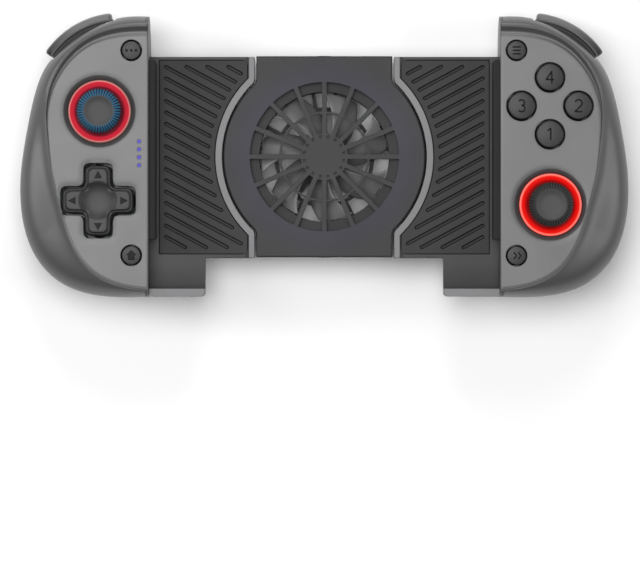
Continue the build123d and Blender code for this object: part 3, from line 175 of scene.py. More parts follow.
def spline(points, count):
    """Natural cubic spline through the points by chord length: the second derivative runs straight between
    neighbouring points and is nothing at both ends, which gives one linear system for its values."""
    points = np.asarray(points, float)
    knots = np.concatenate(([0.0], np.cumsum(np.linalg.norm(np.diff(points, axis=0), axis=1))))
    gaps = np.diff(knots)
    slopes = np.diff(points, axis=0) / gaps[:, None]
    size = len(knots)
    system = np.eye(size)
    inner = np.arange(1, size - 1)
    system[inner, inner - 1] = gaps[:-1]
    system[inner, inner] = 2 * (gaps[:-1] + gaps[1:])
    system[inner, inner + 1] = gaps[1:]
    right = np.zeros_like(points)
    right[1:-1] = 6 * np.diff(slopes, axis=0)
    bend = np.linalg.solve(system, right)
    at = np.linspace(0, knots[-1], count)
    k = np.clip(np.searchsorted(knots, at, side="right") - 1, 0, size - 2)
    u = (at - knots[k])[:, None]
    gap = gaps[k][:, None]
    first = slopes[k] - gap * (2 * bend[k] + bend[k + 1]) / 6
    return points[k] + u * first + u**2 * bend[k] / 2 + u**3 * (bend[k + 1] - bend[k]) / (6 * gap)


def turned_loop(loop):
    """The loop, run anticlockwise."""
    x, y = loop[:, 0], loop[:, 1]
    area = np.sum(x * np.roll(y, -1) - y * np.roll(x, -1))
    return loop if area > 0 else loop[::-1]


def resampled(loop, step):
    """A closed loop set out again at equal steps along its length."""
    closed = np.vstack((loop, loop[:1]))
    run = np.concatenate(([0.0], np.cumsum(np.linalg.norm(np.diff(closed, axis=0), axis=1))))
    at = np.linspace(0, run[-1], max(8, int(round(run[-1] / step))), endpoint=False)
    return np.stack([np.interp(at, run, closed[:, i]) for i in (0, 1)], axis=1)


def averaged(loop, reach):
    """A closed loop whose points are the mean of their neighbours within reach on both sides, taken twice."""
    for _ in range(2):
        loop = np.mean([np.roll(loop, k, axis=0) for k in range(-reach, reach + 1)], axis=0)
    return loop


def softened(loop, step, window):
    """A closed loop whose corners are rounded: the mean of its points over a window that slides along it."""
    return averaged(resampled(loop, step), max(1, int(round(window / step / 2))))


def circle(centre, radius, count=64):
    angle = np.arange(count) * 2 * np.pi / count
    return np.stack((centre[0] + radius * np.cos(angle), centre[1] + radius * np.sin(angle)), axis=1)


def capsule(a, b, radius, count=9):
    """A loop at one distance round the line from a to b: two half circles joined by straight sides."""
    a, b = np.asarray(a, float), np.asarray(b, float)
    heading = math.atan2(b[1] - a[1], b[0] - a[0])
    swing = np.linspace(-np.pi / 2, np.pi / 2, count)
    far = b + radius * np.stack((np.cos(heading + swing), np.sin(heading + swing)), axis=1)
    near = a + radius * np.stack((np.cos(heading + np.pi + swing), np.sin(heading + np.pi + swing)), axis=1)
    return np.vstack((far, near))


def inside(points, loop):
    """Whether each point is in the loop: a ray along +X crosses the loop an odd number of times."""
    x, y = points[:, 0][:, None], points[:, 1][:, None]
    x0, y0 = loop[:, 0][None], loop[:, 1][None]
    x1, y1 = np.roll(loop[:, 0], -1)[None], np.roll(loop[:, 1], -1)[None]
    spans = (y0 > y) != (y1 > y)
    rise = np.where(np.abs(y1 - y0) < 1e-12, 1e-12, y1 - y0)
    crossing = x0 + (y - y0) * (x1 - x0) / rise
    return np.sum(spans & (x < crossing), axis=1) % 2 == 1


def clearance(points, loops):
    """Distance from each point to the nearest point of the loops."""
    near = np.full(len(points), 1e9)
    for loop in loops:
        near = np.minimum(near, np.min(np.linalg.norm(points[:, None] - loop[None], axis=2), axis=1))
    return near


def step_between(x, low, high):
    """Smooth step: 0 below low, 1 above high, 3t squared less 2t cubed between."""
    t = np.clip((x - low) / (high - low), 0, 1)
    return t * t * (3 - 2 * t)


class Shape:
    """Points and faces gathered for one piece, in millimetres."""

    def __init__(self, mirrored=False):
        self.points, self.faces, self.shares, self.count = [], [], [], 0
        self.mirrored = mirrored

    def add(self, points, faces, share=0.0):
        points = np.asarray(points, float).reshape(-1, 3)
        self.points.append(points)
        self.shares.append(np.broadcast_to(np.asarray(share, float).reshape(-1), (len(points),)))
        self.faces.append(np.asarray(faces) + self.count)
        self.count += len(points)

    def cap(self, x, y, z, share=0.0, flip=False):
        """One face over a loop of points."""
        x, y, z = np.broadcast_arrays(x, y, z)
        face = np.arange(len(x))[None]
        self.add(np.column_stack((x, y, z)), face[:, ::-1] if flip else face, share)

    def grid(self, x, y, z, wrap=False, flip=False, keep=None, share=0.0):
        """A sheet of quads over two parameters: rows run along the first axis of the arrays, columns along
        the second. With wrap the last column joins the first. keep leaves out quads by row and column."""
        x, y, z = np.broadcast_arrays(x, y, z)
        rows, columns = x.shape
        number = np.arange(rows * columns).reshape(rows, columns)
        after = np.roll(number, -1, axis=1)
        if not wrap:
            number, after = number[:, :-1], after[:, :-1]
        quads = np.stack((number[:-1], after[:-1], after[1:], number[1:]), axis=-1)
        if keep is not None:
            quads = quads[keep]
        quads = quads.reshape(-1, 4)
        if flip:
            quads = quads[:, ::-1]
        share = np.broadcast_to(share, x.shape).reshape(-1)
        self.add(np.stack((x, y, z), axis=-1), quads, share)

    def wall(self, lower, upper, low, high, flip=False):
        """A band between two loops of the same length, each at its own height."""
        x = np.stack((lower[:, 0], upper[:, 0]))
        y = np.stack((lower[:, 1], upper[:, 1]))
        z = np.stack((np.broadcast_to(low, len(lower)), np.broadcast_to(high, len(upper))))
        self.grid(x, y, z, wrap=True, flip=flip)

    def fill(self, outline, holes, height, inner=None, flip=False):
        """A sheet inside an outline and outside its holes, from a Delaunay triangulation that keeps their
        edges. inner adds points within it, and height is a number or a function of the points."""
        loops = [outline, *holes]
        points = np.vstack(loops + ([inner] if inner is not None else []))
        edges, start = [], 0
        for loop in loops:
            number = np.arange(len(loop)) + start
            edges += np.stack((number, np.roll(number, -1)), axis=1).tolist()
            start += len(loop)
        found = delaunay_2d_cdt(list(map(Vector, points.tolist())), edges, [], 0, 1e-6)
        plan = np.array([tuple(p) for p in found[0]])
        faces = np.array(found[2])
        middle = plan[faces].mean(axis=1)
        good = inside(middle, outline)
        for hole in holes:
            good &= ~inside(middle, hole)
        faces = faces[good]
        a, b, c = plan[faces[:, 0]], plan[faces[:, 1]], plan[faces[:, 2]]
        area = (b[:, 0] - a[:, 0]) * (c[:, 1] - a[:, 1]) - (b[:, 1] - a[:, 1]) * (c[:, 0] - a[:, 0])
        faces[area < 0] = faces[area < 0][:, ::-1]
        if flip:
            faces = faces[:, ::-1]
        z = height(plan) if callable(height) else np.full(len(plan), float(height))
        used = np.unique(faces)
        order = np.zeros(len(plan), int)
        order[used] = np.arange(len(used))
        self.add(np.column_stack((plan, z))[used], order[faces])

    def turn(self, centre, profile, count=96, wobble=None, share=0.0):
        """A profile of radius and height turned about an upright line through centre; wobble adds to the
        radius as a function of row and angle."""
        profile = np.asarray(profile, float)
        angle = np.arange(count) * 2 * np.pi / count
        radius = np.repeat(profile[:, :1], count, axis=1)
        if wobble is not None:
            radius = radius + wobble(profile, angle)
        height = np.repeat(profile[:, 1:], count, axis=1)
        x = centre[0] + radius * np.cos(angle)
        y = centre[1] + radius * np.sin(angle)
        share = np.asarray(share, float)
        share = share[:, None] if share.ndim else share
        self.grid(x, y, height, wrap=True, share=share)

    def mesh(self, name):
        """The gathered points, in metres, and faces as a mesh, with the shares as its attribute."""
        way = -1 if self.mirrored else 1
        points = np.vstack(self.points) * (way * MM, MM, MM)
        faces = [face for sheet in self.faces for face in sheet[:, ::way].tolist()]
        mesh = bpy.data.meshes.new(name)
        mesh.from_pydata(points.tolist(), [], faces)
        mesh.attributes.new("share", "FLOAT", "POINT").data.foreach_set(
            "value", np.concatenate(self.shares).astype(np.float32)
        )
        return mesh

    def piece(self, name, finish, body, replaces=(), slot=None, crease=32.0, closed=True):
        """Makes the piece: welds points that lie together, turns the faces of a closed piece outwards, shades
        smooth between creases and rides on the body."""
        mesh = self.mesh(name)
        work = bmesh.new()
        work.from_mesh(mesh)
        bmesh.ops.remove_doubles(work, verts=work.verts, dist=WELD)
        bmesh.ops.delete(work, geom=[v for v in work.verts if not v.link_faces], context="VERTS")
        if closed:
            bmesh.ops.recalc_face_normals(work, faces=work.faces)
        work.to_mesh(mesh)
        work.free()
        mesh.shade_smooth()
        mesh.set_sharp_from_angle(angle=math.radians(crease))
        mesh.materials.append(MATERIALS[finish])
        made = bpy.data.objects.new(name, mesh)
        bpy.context.scene.collection.objects.link(made)
        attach(made, body)
        if replaces:
            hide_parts(*replaces)
        return made


# Materials


def group(name, inputs, outputs):
    """A new shader group: inputs are (name, default) or a vector's bare name, outputs are (name, kind)."""
    tree = bpy.data.node_groups.new(name, "ShaderNodeTree")
    for entry in inputs:
        if isinstance(entry, str):
            tree.interface.new_socket(entry, in_out="INPUT", socket_type="NodeSocketVector")
        else:
            made = tree.interface.new_socket(entry[0], in_out="INPUT", socket_type="NodeSocketFloat")
            made.default_value = entry[1]
    for entry, kind in outputs:
        tree.interface.new_socket(entry, in_out="OUTPUT", socket_type=kind)
    return tree, tree.nodes.new("NodeGroupInput"), tree.nodes.new("NodeGroupOutput")


def node(tree, kind, inputs=None, **settings):
    """A node with its settings; inputs are values, or sockets to link from."""
    made = tree.nodes.new(kind)
    for key, value in settings.items():
        setattr(made, key, value)
    for key, value in (inputs or {}).items():
        if isinstance(value, bpy.types.NodeSocket):
            tree.links.new(value, made.inputs[key])
        else:
            made.inputs[key].default_value = value
    return made


def maths(tree, operation, *values, **settings):
    """Result of a Math node."""
    return node(tree, "ShaderNodeMath", dict(enumerate(values)), operation=operation, **settings).outputs[0]


def vector(tree, operation, *values):
    """Both results of a Vector Math node, its vector and its value."""
    made = node(tree, "ShaderNodeVectorMath", dict(enumerate(values)), operation=operation)
    return made.outputs[0], made.outputs[1]


def mixed(tree, factor, colour, other):
    """The colour where the factor is nothing, and the other where it is one."""
    return node(tree, "ShaderNodeMix", {"Factor": factor, 6: colour, 7: other}, data_type="RGBA").outputs[2]


def faded(tree, value, start, end, colour, other):
    """Mixes from one colour to the other while the value goes from start to end."""
    level = node(tree, "ShaderNodeMapRange", {"Value": value, "From Min": start, "From Max": end})
    return mixed(tree, level.outputs[0], colour, other)


def apart_from(tree, axis):
    """Distance to an upright axis, and the three parts of the way from it."""
    place = node(tree, "ShaderNodeTexCoord").outputs["Object"]
    apart, _ = vector(tree, "SUBTRACT", place, axis)
    flat, _ = vector(tree, "MULTIPLY", apart, (1.0, 1.0, 0.0))
    _, reach = vector(tree, "LENGTH", flat)
    return reach, node(tree, "ShaderNodeSeparateXYZ", {0: apart}).outputs


def grain_group():
    """Moulded grain: fine noise for the height, and slow noise for patches of tone."""
    tree, start, end = group(
        "Moulded grain", ["Place", ("Size", 0.0003), ("Patch size", 0.02)],
        [("Height", "NodeSocketFloat"), ("Patch", "NodeSocketFloat")],
    )
    place = start.outputs["Place"]
    fine = maths(tree, "DIVIDE", 1.0, start.outputs["Size"])
    slow = maths(tree, "DIVIDE", 1.0, start.outputs["Patch size"])
    grain = node(tree, "ShaderNodeTexNoise", {
        "Vector": place, "Scale": fine, "Detail": 2.0, "Roughness": 0.6,
    })
    cells = node(tree, "ShaderNodeTexVoronoi", {"Vector": place, "Scale": fine})
    patches = node(tree, "ShaderNodeTexNoise", {
        "Vector": place, "Scale": slow, "Detail": 3.0, "Roughness": 0.55,
    })
    tree.links.new(maths(tree, "ADD", grain.outputs[0], cells.outputs["Distance"]), end.inputs["Height"])
    tree.links.new(patches.outputs[0], end.inputs["Patch"])
    return tree


def edge_group():
    """Rounded edges: how far the rounded normal leans from the true one, which is large only near an edge."""
    tree, start, end = group(
        "Rounded edges", [("Radius", 0.0004), ("Sharpness", 6.0)],
        [("Mask", "NodeSocketFloat"), ("Normal", "NodeSocketVector")],
    )
    bevel = node(tree, "ShaderNodeBevel", {"Radius": start.outputs["Radius"]}, samples=4)
    true = node(tree, "ShaderNodeNewGeometry")
    _, likeness = vector(tree, "DOT_PRODUCT", bevel.outputs[0], true.outputs["Normal"])
    lean = maths(tree, "SUBTRACT", 1.0, likeness)
    mask = maths(tree, "MULTIPLY", lean, start.outputs["Sharpness"], use_clamp=True)
    tree.links.new(mask, end.inputs["Mask"])
    tree.links.new(bevel.outputs[0], end.inputs["Normal"])
    return tree


def linear(colour):
    """The colour as light: each channel is c/12.92 below 0.04045, else ((c + 0.055)/1.055)^2.4."""
    c = np.asarray(colour[:3], float)
    return tuple(np.where(c <= 0.04045, c / 12.92, ((c + 0.055) / 1.055) ** 2.4)) + (1.0,)


def fresh(name):
    """A new material with its node tree and its shader."""
    material = bpy.data.materials.new(name)
    material.use_nodes = True
    return material, material.node_tree, material.node_tree.nodes["Principled BSDF"]


def moulded(name, colour, roughness=0.45, grain=0.0003, bump=0.12, patches=0.06, edge=0.25, rounding=0.0003,
            specular=0.4, coat=0.0, metallic=0.0, tint=None):
    """Moulded plastic, rubber or metal: a base colour with slow patches, lighter edges and a fine grain.
    tint, if given, takes the tree and the colour socket and returns another colour socket."""
    material, tree, shader = fresh(name)
    place = node(tree, "ShaderNodeTexCoord")
    speck = node(tree, "ShaderNodeGroup", node_tree=bpy.data.node_groups["Moulded grain"])
    tree.links.new(place.outputs["Object"], speck.inputs["Place"])
    speck.inputs["Size"].default_value = grain
    edge_lean = node(tree, "ShaderNodeGroup", node_tree=bpy.data.node_groups["Rounded edges"])
    edge_lean.inputs["Radius"].default_value = rounding
    base = np.array(linear(colour)[:3])

    def toned(factor, lift=0.0):
        return tuple(np.minimum(base * factor + lift, 1)) + (1.0,)

    tone = mixed(tree, speck.outputs["Patch"], toned(1 - patches), toned(1 + patches))
    if tint:
        tone = tint(tree, tone)
    edge_tone = mixed(tree, edge_lean.outputs["Mask"], tone, toned(1 + edge, 0.01 * edge))
    tree.links.new(edge_tone, shader.inputs["Base Color"])
    rough = node(tree, "ShaderNodeMapRange", {
        "Value": speck.outputs["Patch"], "To Min": max(0.02, roughness - 0.06), "To Max": roughness + 0.06,
    })
    tree.links.new(rough.outputs[0], shader.inputs["Roughness"])
    relief = node(tree, "ShaderNodeBump", {
        "Height": speck.outputs["Height"], "Distance": grain / 2, "Strength": bump,
        "Normal": edge_lean.outputs["Normal"],
    })
    tree.links.new(relief.outputs[0], shader.inputs["Normal"])
    shader.inputs["Specular IOR Level"].default_value = specular
    shader.inputs["Metallic"].default_value = metallic
    shader.inputs["Coat Weight"].default_value = coat
    return material


def painted_steep_shade(tree, colour):
    """Painted shade: darkens walls and slopes, which outlines slots and edges, by how far a face is from
    lying level.
    """
    lie = node(tree, "ShaderNodeNewGeometry").outputs["True Normal"]
    upright = node(tree, "ShaderNodeSeparateXYZ", {0: lie}).outputs["Z"]
    # painted shade: near black where the face stands upright
    return faded(tree, upright, 0.80, 0.97, linear((0.03, 0.03, 0.03)), colour)


def knurl_with_painted_tooth_light(place, lit_tooth, shaded_tooth):
    """A tint for a stick's cap: outside its hollow the knurled ring goes between a lit and a shaded copy of
    its colour with the sine of the teeth's number times the angle round the stick, which is painted light and
    shade on the teeth."""
    teeth = float(bpy.context.scene.grip_stick.teeth)
    hollow_edge, knurl_start = 0.0046, 0.0051

    def tint(tree, colour):
        reach, part = apart_from(tree, (place[0] * MM, place[1] * MM, 0.0))
        angle = maths(tree, "ARCTAN2", part["Y"], part["X"])
        wave = maths(tree, "SINE", maths(tree, "MULTIPLY", angle, teeth))
        # painted light and shade that stripes the teeth
        painted_tooth_light = faded(tree, wave, -0.6, 0.6, linear(shaded_tooth), linear(lit_tooth))
        return faded(tree, reach, hollow_edge, knurl_start, colour, painted_tooth_light)
    return tint


def wing_joint_line_and_painted_light(tree, colour):
    """The wing plate gets painted shade that darkens it along the ledge, a black line round the pad, and
    painted highlights that make it paler on its border along the fan's module and on top of the ledge's wall.
    Each mask is a distance to the fan's axis, or one coordinate."""
    ledge_back, ledge_front = -0.03415, -0.04215
    line_radius, border_radius = 0.0362, 0.0351
    line_x, border_x = 0.0256, 0.0243
    ledge_top = 0.0265
    reach, part = apart_from(tree, (0.0, FAN[1] * MM, 0.0))
    side = maths(tree, "ABSOLUTE", part["X"])
    # pale is the painted highlight's colour; black is the line round the pad
    black, pale = linear((0.03, 0.03, 0.03)), linear((0.40, 0.40, 0.405))
    # Painted shade: the ledge darkens towards its front
    colour = faded(tree, part["Y"], ledge_back, ledge_front, colour, linear((0.06, 0.06, 0.06)))
    colour = faded(tree, reach, line_radius, line_radius - 0.0002, colour, black)
    colour = faded(tree, side, line_x, line_x - 0.0002, colour, black)
    # Painted highlights: paler on the border along the fan's module, and on the ledge wall's top
    colour = faded(tree, reach, border_radius, border_radius - 0.0001, colour, pale)
    colour = faded(tree, side, border_x, border_x - 0.0001, colour, pale)
    return faded(tree, part["Z"], ledge_top, ledge_top + 0.001, colour, pale)


def painted_ring_light(tree, colour):
    """Painted light: a faint violet glow from the lit ring, painted on the cover round the grille, that fades
    out over some millimetres.
    """
    grille_radius, painted_spill_radius = 0.0240, 0.0320
    reach, _ = apart_from(tree, (0.0, FAN[1] * MM, 0.0))
    # painted light from the lit ring: violet that fades out away from the grille
    painted_spill = faded(tree, reach, painted_spill_radius, grille_radius, colour, linear((0.16, 0.155, 0.205)))
    return faded(tree, reach, grille_radius, grille_radius - 0.0001, painted_spill, colour)


def end_shade(tree, colour):
    """A shoulder button darkens towards its outer end, by the share of its arc."""
    along = node(tree, "ShaderNodeAttribute", attribute_name="share")
    return faded(tree, along.outputs["Fac"], 0.55, 0.0, colour, linear((0.07, 0.07, 0.07)))


def glow(name, stops, strength, base=(0.3, 0.02, 0.02)):
    """A lit surface: its colour and light follow the piece's own share attribute through a colour ramp."""
    material, tree, shader = fresh(name)
    share = node(tree, "ShaderNodeAttribute", attribute_name="share")
    ramp = node(tree, "ShaderNodeValToRGB", {"Fac": share.outputs["Fac"]})
    ends = ramp.color_ramp.elements
    ends[0].position, ends[0].color = stops[0][0], linear(stops[0][1])
    ends[1].position, ends[1].color = stops[-1][0], linear(stops[-1][1])
    for at, colour in stops[1:-1]:
        ends.new(at).color = linear(colour)
    tree.links.new(ramp.outputs[0], shader.inputs["Emission Color"])
    shader.inputs["Emission Strength"].default_value = strength
    tree.links.new(mixed(tree, 0.5, ramp.outputs[0], linear(base)), shader.inputs["Base Color"])
    shader.inputs["Roughness"].default_value = 0.4
    return material


def make_materials():
    """Every finish of the piece, by name."""
    grain_group()
    edge_group()
    looks = bpy.context.scene.grip_finish
    # Each knurled ring: a lit and a shaded copy of its colour, as painted light and shade on the teeth
    left_knurl = knurl_with_painted_tooth_light((-LEFT_STICK[0], LEFT_STICK[1]), (0.08, 0.36, 0.50), (0.03, 0.10, 0.16))
    right_knurl = knurl_with_painted_tooth_light(RIGHT_STICK, (0.16, 0.16, 0.16), (0.03, 0.03, 0.03))
    return {
        "shell": moulded(
            "Grey shell", looks.shell, roughness=0.42, bump=0.06, edge=0.1, patches=0.03, metallic=0.5,
            specular=0.5,
        ),
        "cover": moulded(
            "Fan cover plastic", looks.cover, bump=0.12, edge=0.3, patches=0.05, specular=0.3,
            tint=painted_ring_light,
        ),
        "pad": moulded(
            "Pad rubber", looks.pad, roughness=0.8, grain=0.00045, bump=0.35, patches=0.12, edge=0.0,
            specular=0.25, tint=painted_steep_shade,
        ),
        "wing": moulded(
            "Wing plate plastic", (0.165, 0.165, 0.168), roughness=0.42, bump=0.08, metallic=0.3,
            tint=wing_joint_line_and_painted_light,
        ),
        "strip": moulded("Strip rubber", (0.12, 0.12, 0.125), roughness=0.7, bump=0.2, specular=0.3),
        "button": moulded(
            "Button plastic", looks.button, roughness=0.42, bump=0.12, edge=0.0, specular=0.35,
            tint=painted_steep_shade,
        ),
        "mark": moulded("Mark ink", (0.02, 0.02, 0.02), roughness=0.7, bump=0.1, edge=0.0, rounding=0.0001),
        "left_cap": moulded(
            "Left stick rubber", looks.cap, roughness=0.6, bump=0.2, edge=0.1, specular=0.3,
            tint=left_knurl,
        ),
        "right_cap": moulded(
            "Right stick rubber", looks.cap, roughness=0.6, bump=0.2, edge=0.1, specular=0.3,
            tint=right_knurl,
        ),
        "trigger": moulded(
            "Trigger plastic", looks.trigger, bump=0.25, edge=0.3, grain=0.0004, tint=end_shade,
        ),
        "dark": moulded("Dark frame plastic", (0.16, 0.16, 0.165), roughness=0.5, bump=0.2),
        "black": moulded("Black plastic", (0.055, 0.055, 0.06), roughness=0.5, bump=0.15),
        "blade": moulded("Blade plastic", (0.46, 0.46, 0.465), roughness=0.35, bump=0.1),
        "steel": moulded("Brushed steel", (0.62, 0.63, 0.65), roughness=0.3, metallic=1.0, bump=0.1),
        "brass": moulded("Brass", (0.72, 0.58, 0.3), roughness=0.3, metallic=1.0, bump=0.1),
        "board": moulded("Board lacquer", (0.05, 0.25, 0.12), roughness=0.35, bump=0.15, coat=0.3),
        "copper": moulded(
            "Copper winding", (0.7, 0.38, 0.2), roughness=0.35, metallic=1.0, bump=0.5, grain=0.0006,
        ),
        "foil": moulded("Cell foil", (0.62, 0.64, 0.66), roughness=0.3, metallic=0.6, bump=0.3),
        "port": moulded("Port metal", (0.72, 0.73, 0.75), roughness=0.25, metallic=1.0, bump=0.05),
        "dome": moulded("Dome rubber", (0.45, 0.45, 0.46), roughness=0.75, bump=0.15),
        "left_lit": glow("Left lit bowl", [
            (0.0, (0.10, 0.02, 0.06)), (0.35, (0.40, 0.08, 0.14)), (0.5, (0.78, 0.14, 0.22)),
            (0.84, (0.80, 0.18, 0.24)), (0.92, (0.72, 0.45, 0.42)), (1.0, (0.42, 0.30, 0.28)),
        ], 0.6),
        "right_lit": glow("Right lit bowl", [
            (0.0, (0.20, 0.0, 0.0)), (0.30, (0.50, 0.0, 0.0)), (0.5, (0.84, 0.02, 0.02)),
            (0.74, (0.90, 0.10, 0.06)), (0.86, (1.0, 0.42, 0.36)), (0.96, (0.96, 0.36, 0.32)),
            (1.0, (0.45, 0.16, 0.15)),
        ], 0.75),
        "light": glow("Light pipe glow", [
            (0.0, (0.13, 0.07, 0.62)), (1.0, (0.17, 0.10, 0.70)),
        ], 0.55, base=(0.1, 0.08, 0.35)),
    }


# Finish of each solid that stays, by its name without the side. The others are dark frame plastic.
SOLID_FINISH = {
    "fan_cover": "cover", "fan_base": "cover", "fan_frame": "black", "fan_motor_stator": "copper",
    "fan_bush": "brass", "fan_light_ring": "light", "fan_board": "board", "fan_usb_port": "port",
    "centre_screws": "steel", "rumble_motor": "steel", "return_springs": "steel", "wing_plate": "wing",
    "clamp_strip": "strip", "board": "board", "grip_screws": "steel", "usb_port": "port", "battery": "foil",
    "light_pipes": "light", "rubber_domes": "dome", "shoulder_pins": "steel", "stick_rod": "steel",
}


# Grip shells

# Shares of the grip's width from its inner wall and of its length from its front, round the widest line
SILHOUETTE_SHARES = (
    (-0.05, 1.0), (0.228, 0.997), (0.456, 0.954), (0.629, 0.9), (0.785, 0.832), (0.872, 0.744),
    (0.944, 0.598), (0.996, 0.4225), (0.982, 0.282), (0.867, 0.134), (0.665, 0.044), (0.329, 0.0),
    (-0.05, 0.0),
)
# The sharp line between face and flank, in millimetres
CREST = (
    (54.2, 40.9), (60.0, 40.9), (67.5, 40.1), (74.0, 37.9), (79.8, 34.0), (84.8, 28.0), (88.0, 21.0),
    (89.1, 14.5), (88.9, 8.0), (88.4, 2.0), (87.2, -8.0), (84.9, -17.5), (81.8, -27.5), (76.2, -36.4),
    (69.0, -41.2), (62.0, -43.2), (54.2, -44.0),
)
# Angles about the shoulder's centre, in degrees, at which the rim's measures are given
RIM_ANGLES = (-100, -80, -65, -50, -40, -30, -20, -10, 0, 15, 36, 60, 85, 112)
CURVE_POINTS = 900
CURVE_COLUMNS = (22, 44, 150)  # columns behind, within and in front of the shoulder pocket
POCKET = slice(CURVE_COLUMNS[0], CURVE_COLUMNS[0] + CURVE_COLUMNS[1])
POCKET_ANGLES = (88.0, 32.5)  # its two sides, about the shoulder's centre
POCKET_RADIUS = 21.0
POCKET_TOP = 27.5
POCKET_BOTTOM = 7.0
FRONT_POCKET_ROW = 9          # rows of the two shells' outsides at the pocket's top and bottom
REAR_POCKET_ROW = 11
EDGE = 0.45                   # radius of the inner wall's edge
BEZEL_RADIUS = 11.4           # edge of the face round a lit bowl
BEZEL_STEPS = ((10.1, -1.7), (10.25, -1.15))  # radius, and height from the face, of the slope inside it
HOLE_DEPTH = 1.2              # walls of the face's holes
GUARD = 0.25                  # strip of quads round each hole
FRONT_WALL = 0.0005           # metres, as are the next two
REAR_WALL = 0.0018
INK_THICKNESS = 0.00003


def silhouette():
    """The widest line round a grip."""
    shares = np.array(SILHOUETTE_SHARES)
    return spline((GRIP_INNER_X, GRIP_FRONT_Y) + shares * (GRIP_WIDTH, GRIP_LENGTH), CURVE_POINTS)


def columns_of(curve):
    """The curve beyond the inner wall's rounded edge, set out in columns: equal steps between the back
    corner, the two rays of the shoulder pocket and the front corner."""
    start = GRIP_INNER_X + EDGE
    beyond = np.flatnonzero(curve[:, 0] >= start)
    first, last = beyond[0], beyond[-1]

    def crossing(a, b):
        t = (start - a[0]) / (b[0] - a[0])
        return a + t * (b - a)

    before, after = crossing(curve[first - 1], curve[first]), crossing(curve[last], curve[last + 1])
    line = np.vstack((before, curve[first:last + 1], after))
    run = np.concatenate(([0.0], np.cumsum(np.linalg.norm(np.diff(line, axis=0), axis=1))))
    stops = [0.0, *np.interp([-a for a in POCKET_ANGLES], -angles_of(line), run), run[-1]]
    at = np.concatenate([
        np.linspace(stops[i], stops[i + 1], count, endpoint=False) for i, count in enumerate(CURVE_COLUMNS)
    ] + [stops[-1:]])
    return np.stack([np.interp(at, run, line[:, i]) for i in (0, 1)], axis=1)


def angles_of(line):
    """Angle of each point about the shoulder's centre, in degrees, without jumps."""
    return np.degrees(np.unwrap(np.arctan2(line[:, 1] - SHOULDER[1], line[:, 0] - SHOULDER[0])))


def from_ends(line):
    """Number of points between each point and the nearer end."""
    number = np.arange(len(line))
    return np.minimum(number, number[::-1])


def normals_of(line):
    """Unit normals that point away from the grip's middle; at both ends they run along Y."""
    along = np.gradient(line, axis=0)
    normal = np.column_stack((-along[:, 1], along[:, 0]))
    normal /= np.linalg.norm(normal, axis=1)[:, None]
    middle = line.mean(axis=0)
    normal[np.sum(normal * (line - middle), axis=1) < 0] *= -1
    blend = step_between(from_ends(line), 0, 8)[:, None]
    ends = np.column_stack((np.zeros(len(line)), np.sign(line[:, 1] - middle[1])))
    normal = normal * blend + ends * (1 - blend)
    return normal / np.linalg.norm(normal, axis=1)[:, None]


def pocket_walls(shape, edge, low, high, lid):
    """Back wall of the shoulder pocket, its two sides, and its ceiling or floor. edge is the shell's outside
    as rows and columns within the pocket; lid is the row at the ceiling or floor."""
    angle = np.radians(np.linspace(*POCKET_ANGLES, edge.shape[1]))
    arc = np.array(SHOULDER) + POCKET_RADIUS * np.column_stack((np.cos(angle), np.sin(angle)))
    shape.grid(arc[:, 0], arc[:, 1], np.linspace(low, high, 8)[:, None], flip=True)
    share = np.linspace(0, 1, 4)[:, None]
    for column, turn in ((0, True), (-1, False)):
        x, y, z = (edge[:, column, i][:, None] for i in range(3))
        shape.grid(x + (arc[column, 0] - x) * share.T, y + (arc[column, 1] - y) * share.T, z, flip=turn)
    x, y, z = edge[lid].T
    shape.grid(x + (arc[:, 0] - x) * share, y + (arc[:, 1] - y) * share, z, flip=lid == 0)


def inner_wall(shape, rim, foot, upward=True):
    """The flat inner wall under a rim of points, joined to it by a quarter round as high as the edge's
    radius, or less where the rim comes near the foot."""
    radius = np.minimum(EDGE, np.abs(rim[:, 2] - foot) * 0.6)
    turn = np.linspace(0, np.pi / 2, 7)[:, None]
    levels = np.linspace(0, 1, 6)[1:, None]
    x = GRIP_INNER_X + EDGE * np.vstack((1 - np.sin(turn), 0 * levels))
    z = rim[:, 2] - (1 if upward else -1) * radius * (1 - np.cos(turn))
    z = np.vstack((z, z[-1] + (foot - z[-1]) * levels))
    shape.grid(x, rim[:, 1], z, flip=not upward)


def seam_inset(line, seam):
    """The widest line drawn in by the seam's width, which fades out at the inner wall."""
    return line - normals_of(line) * (seam * step_between(from_ends(line), 0, 6))[:, None]


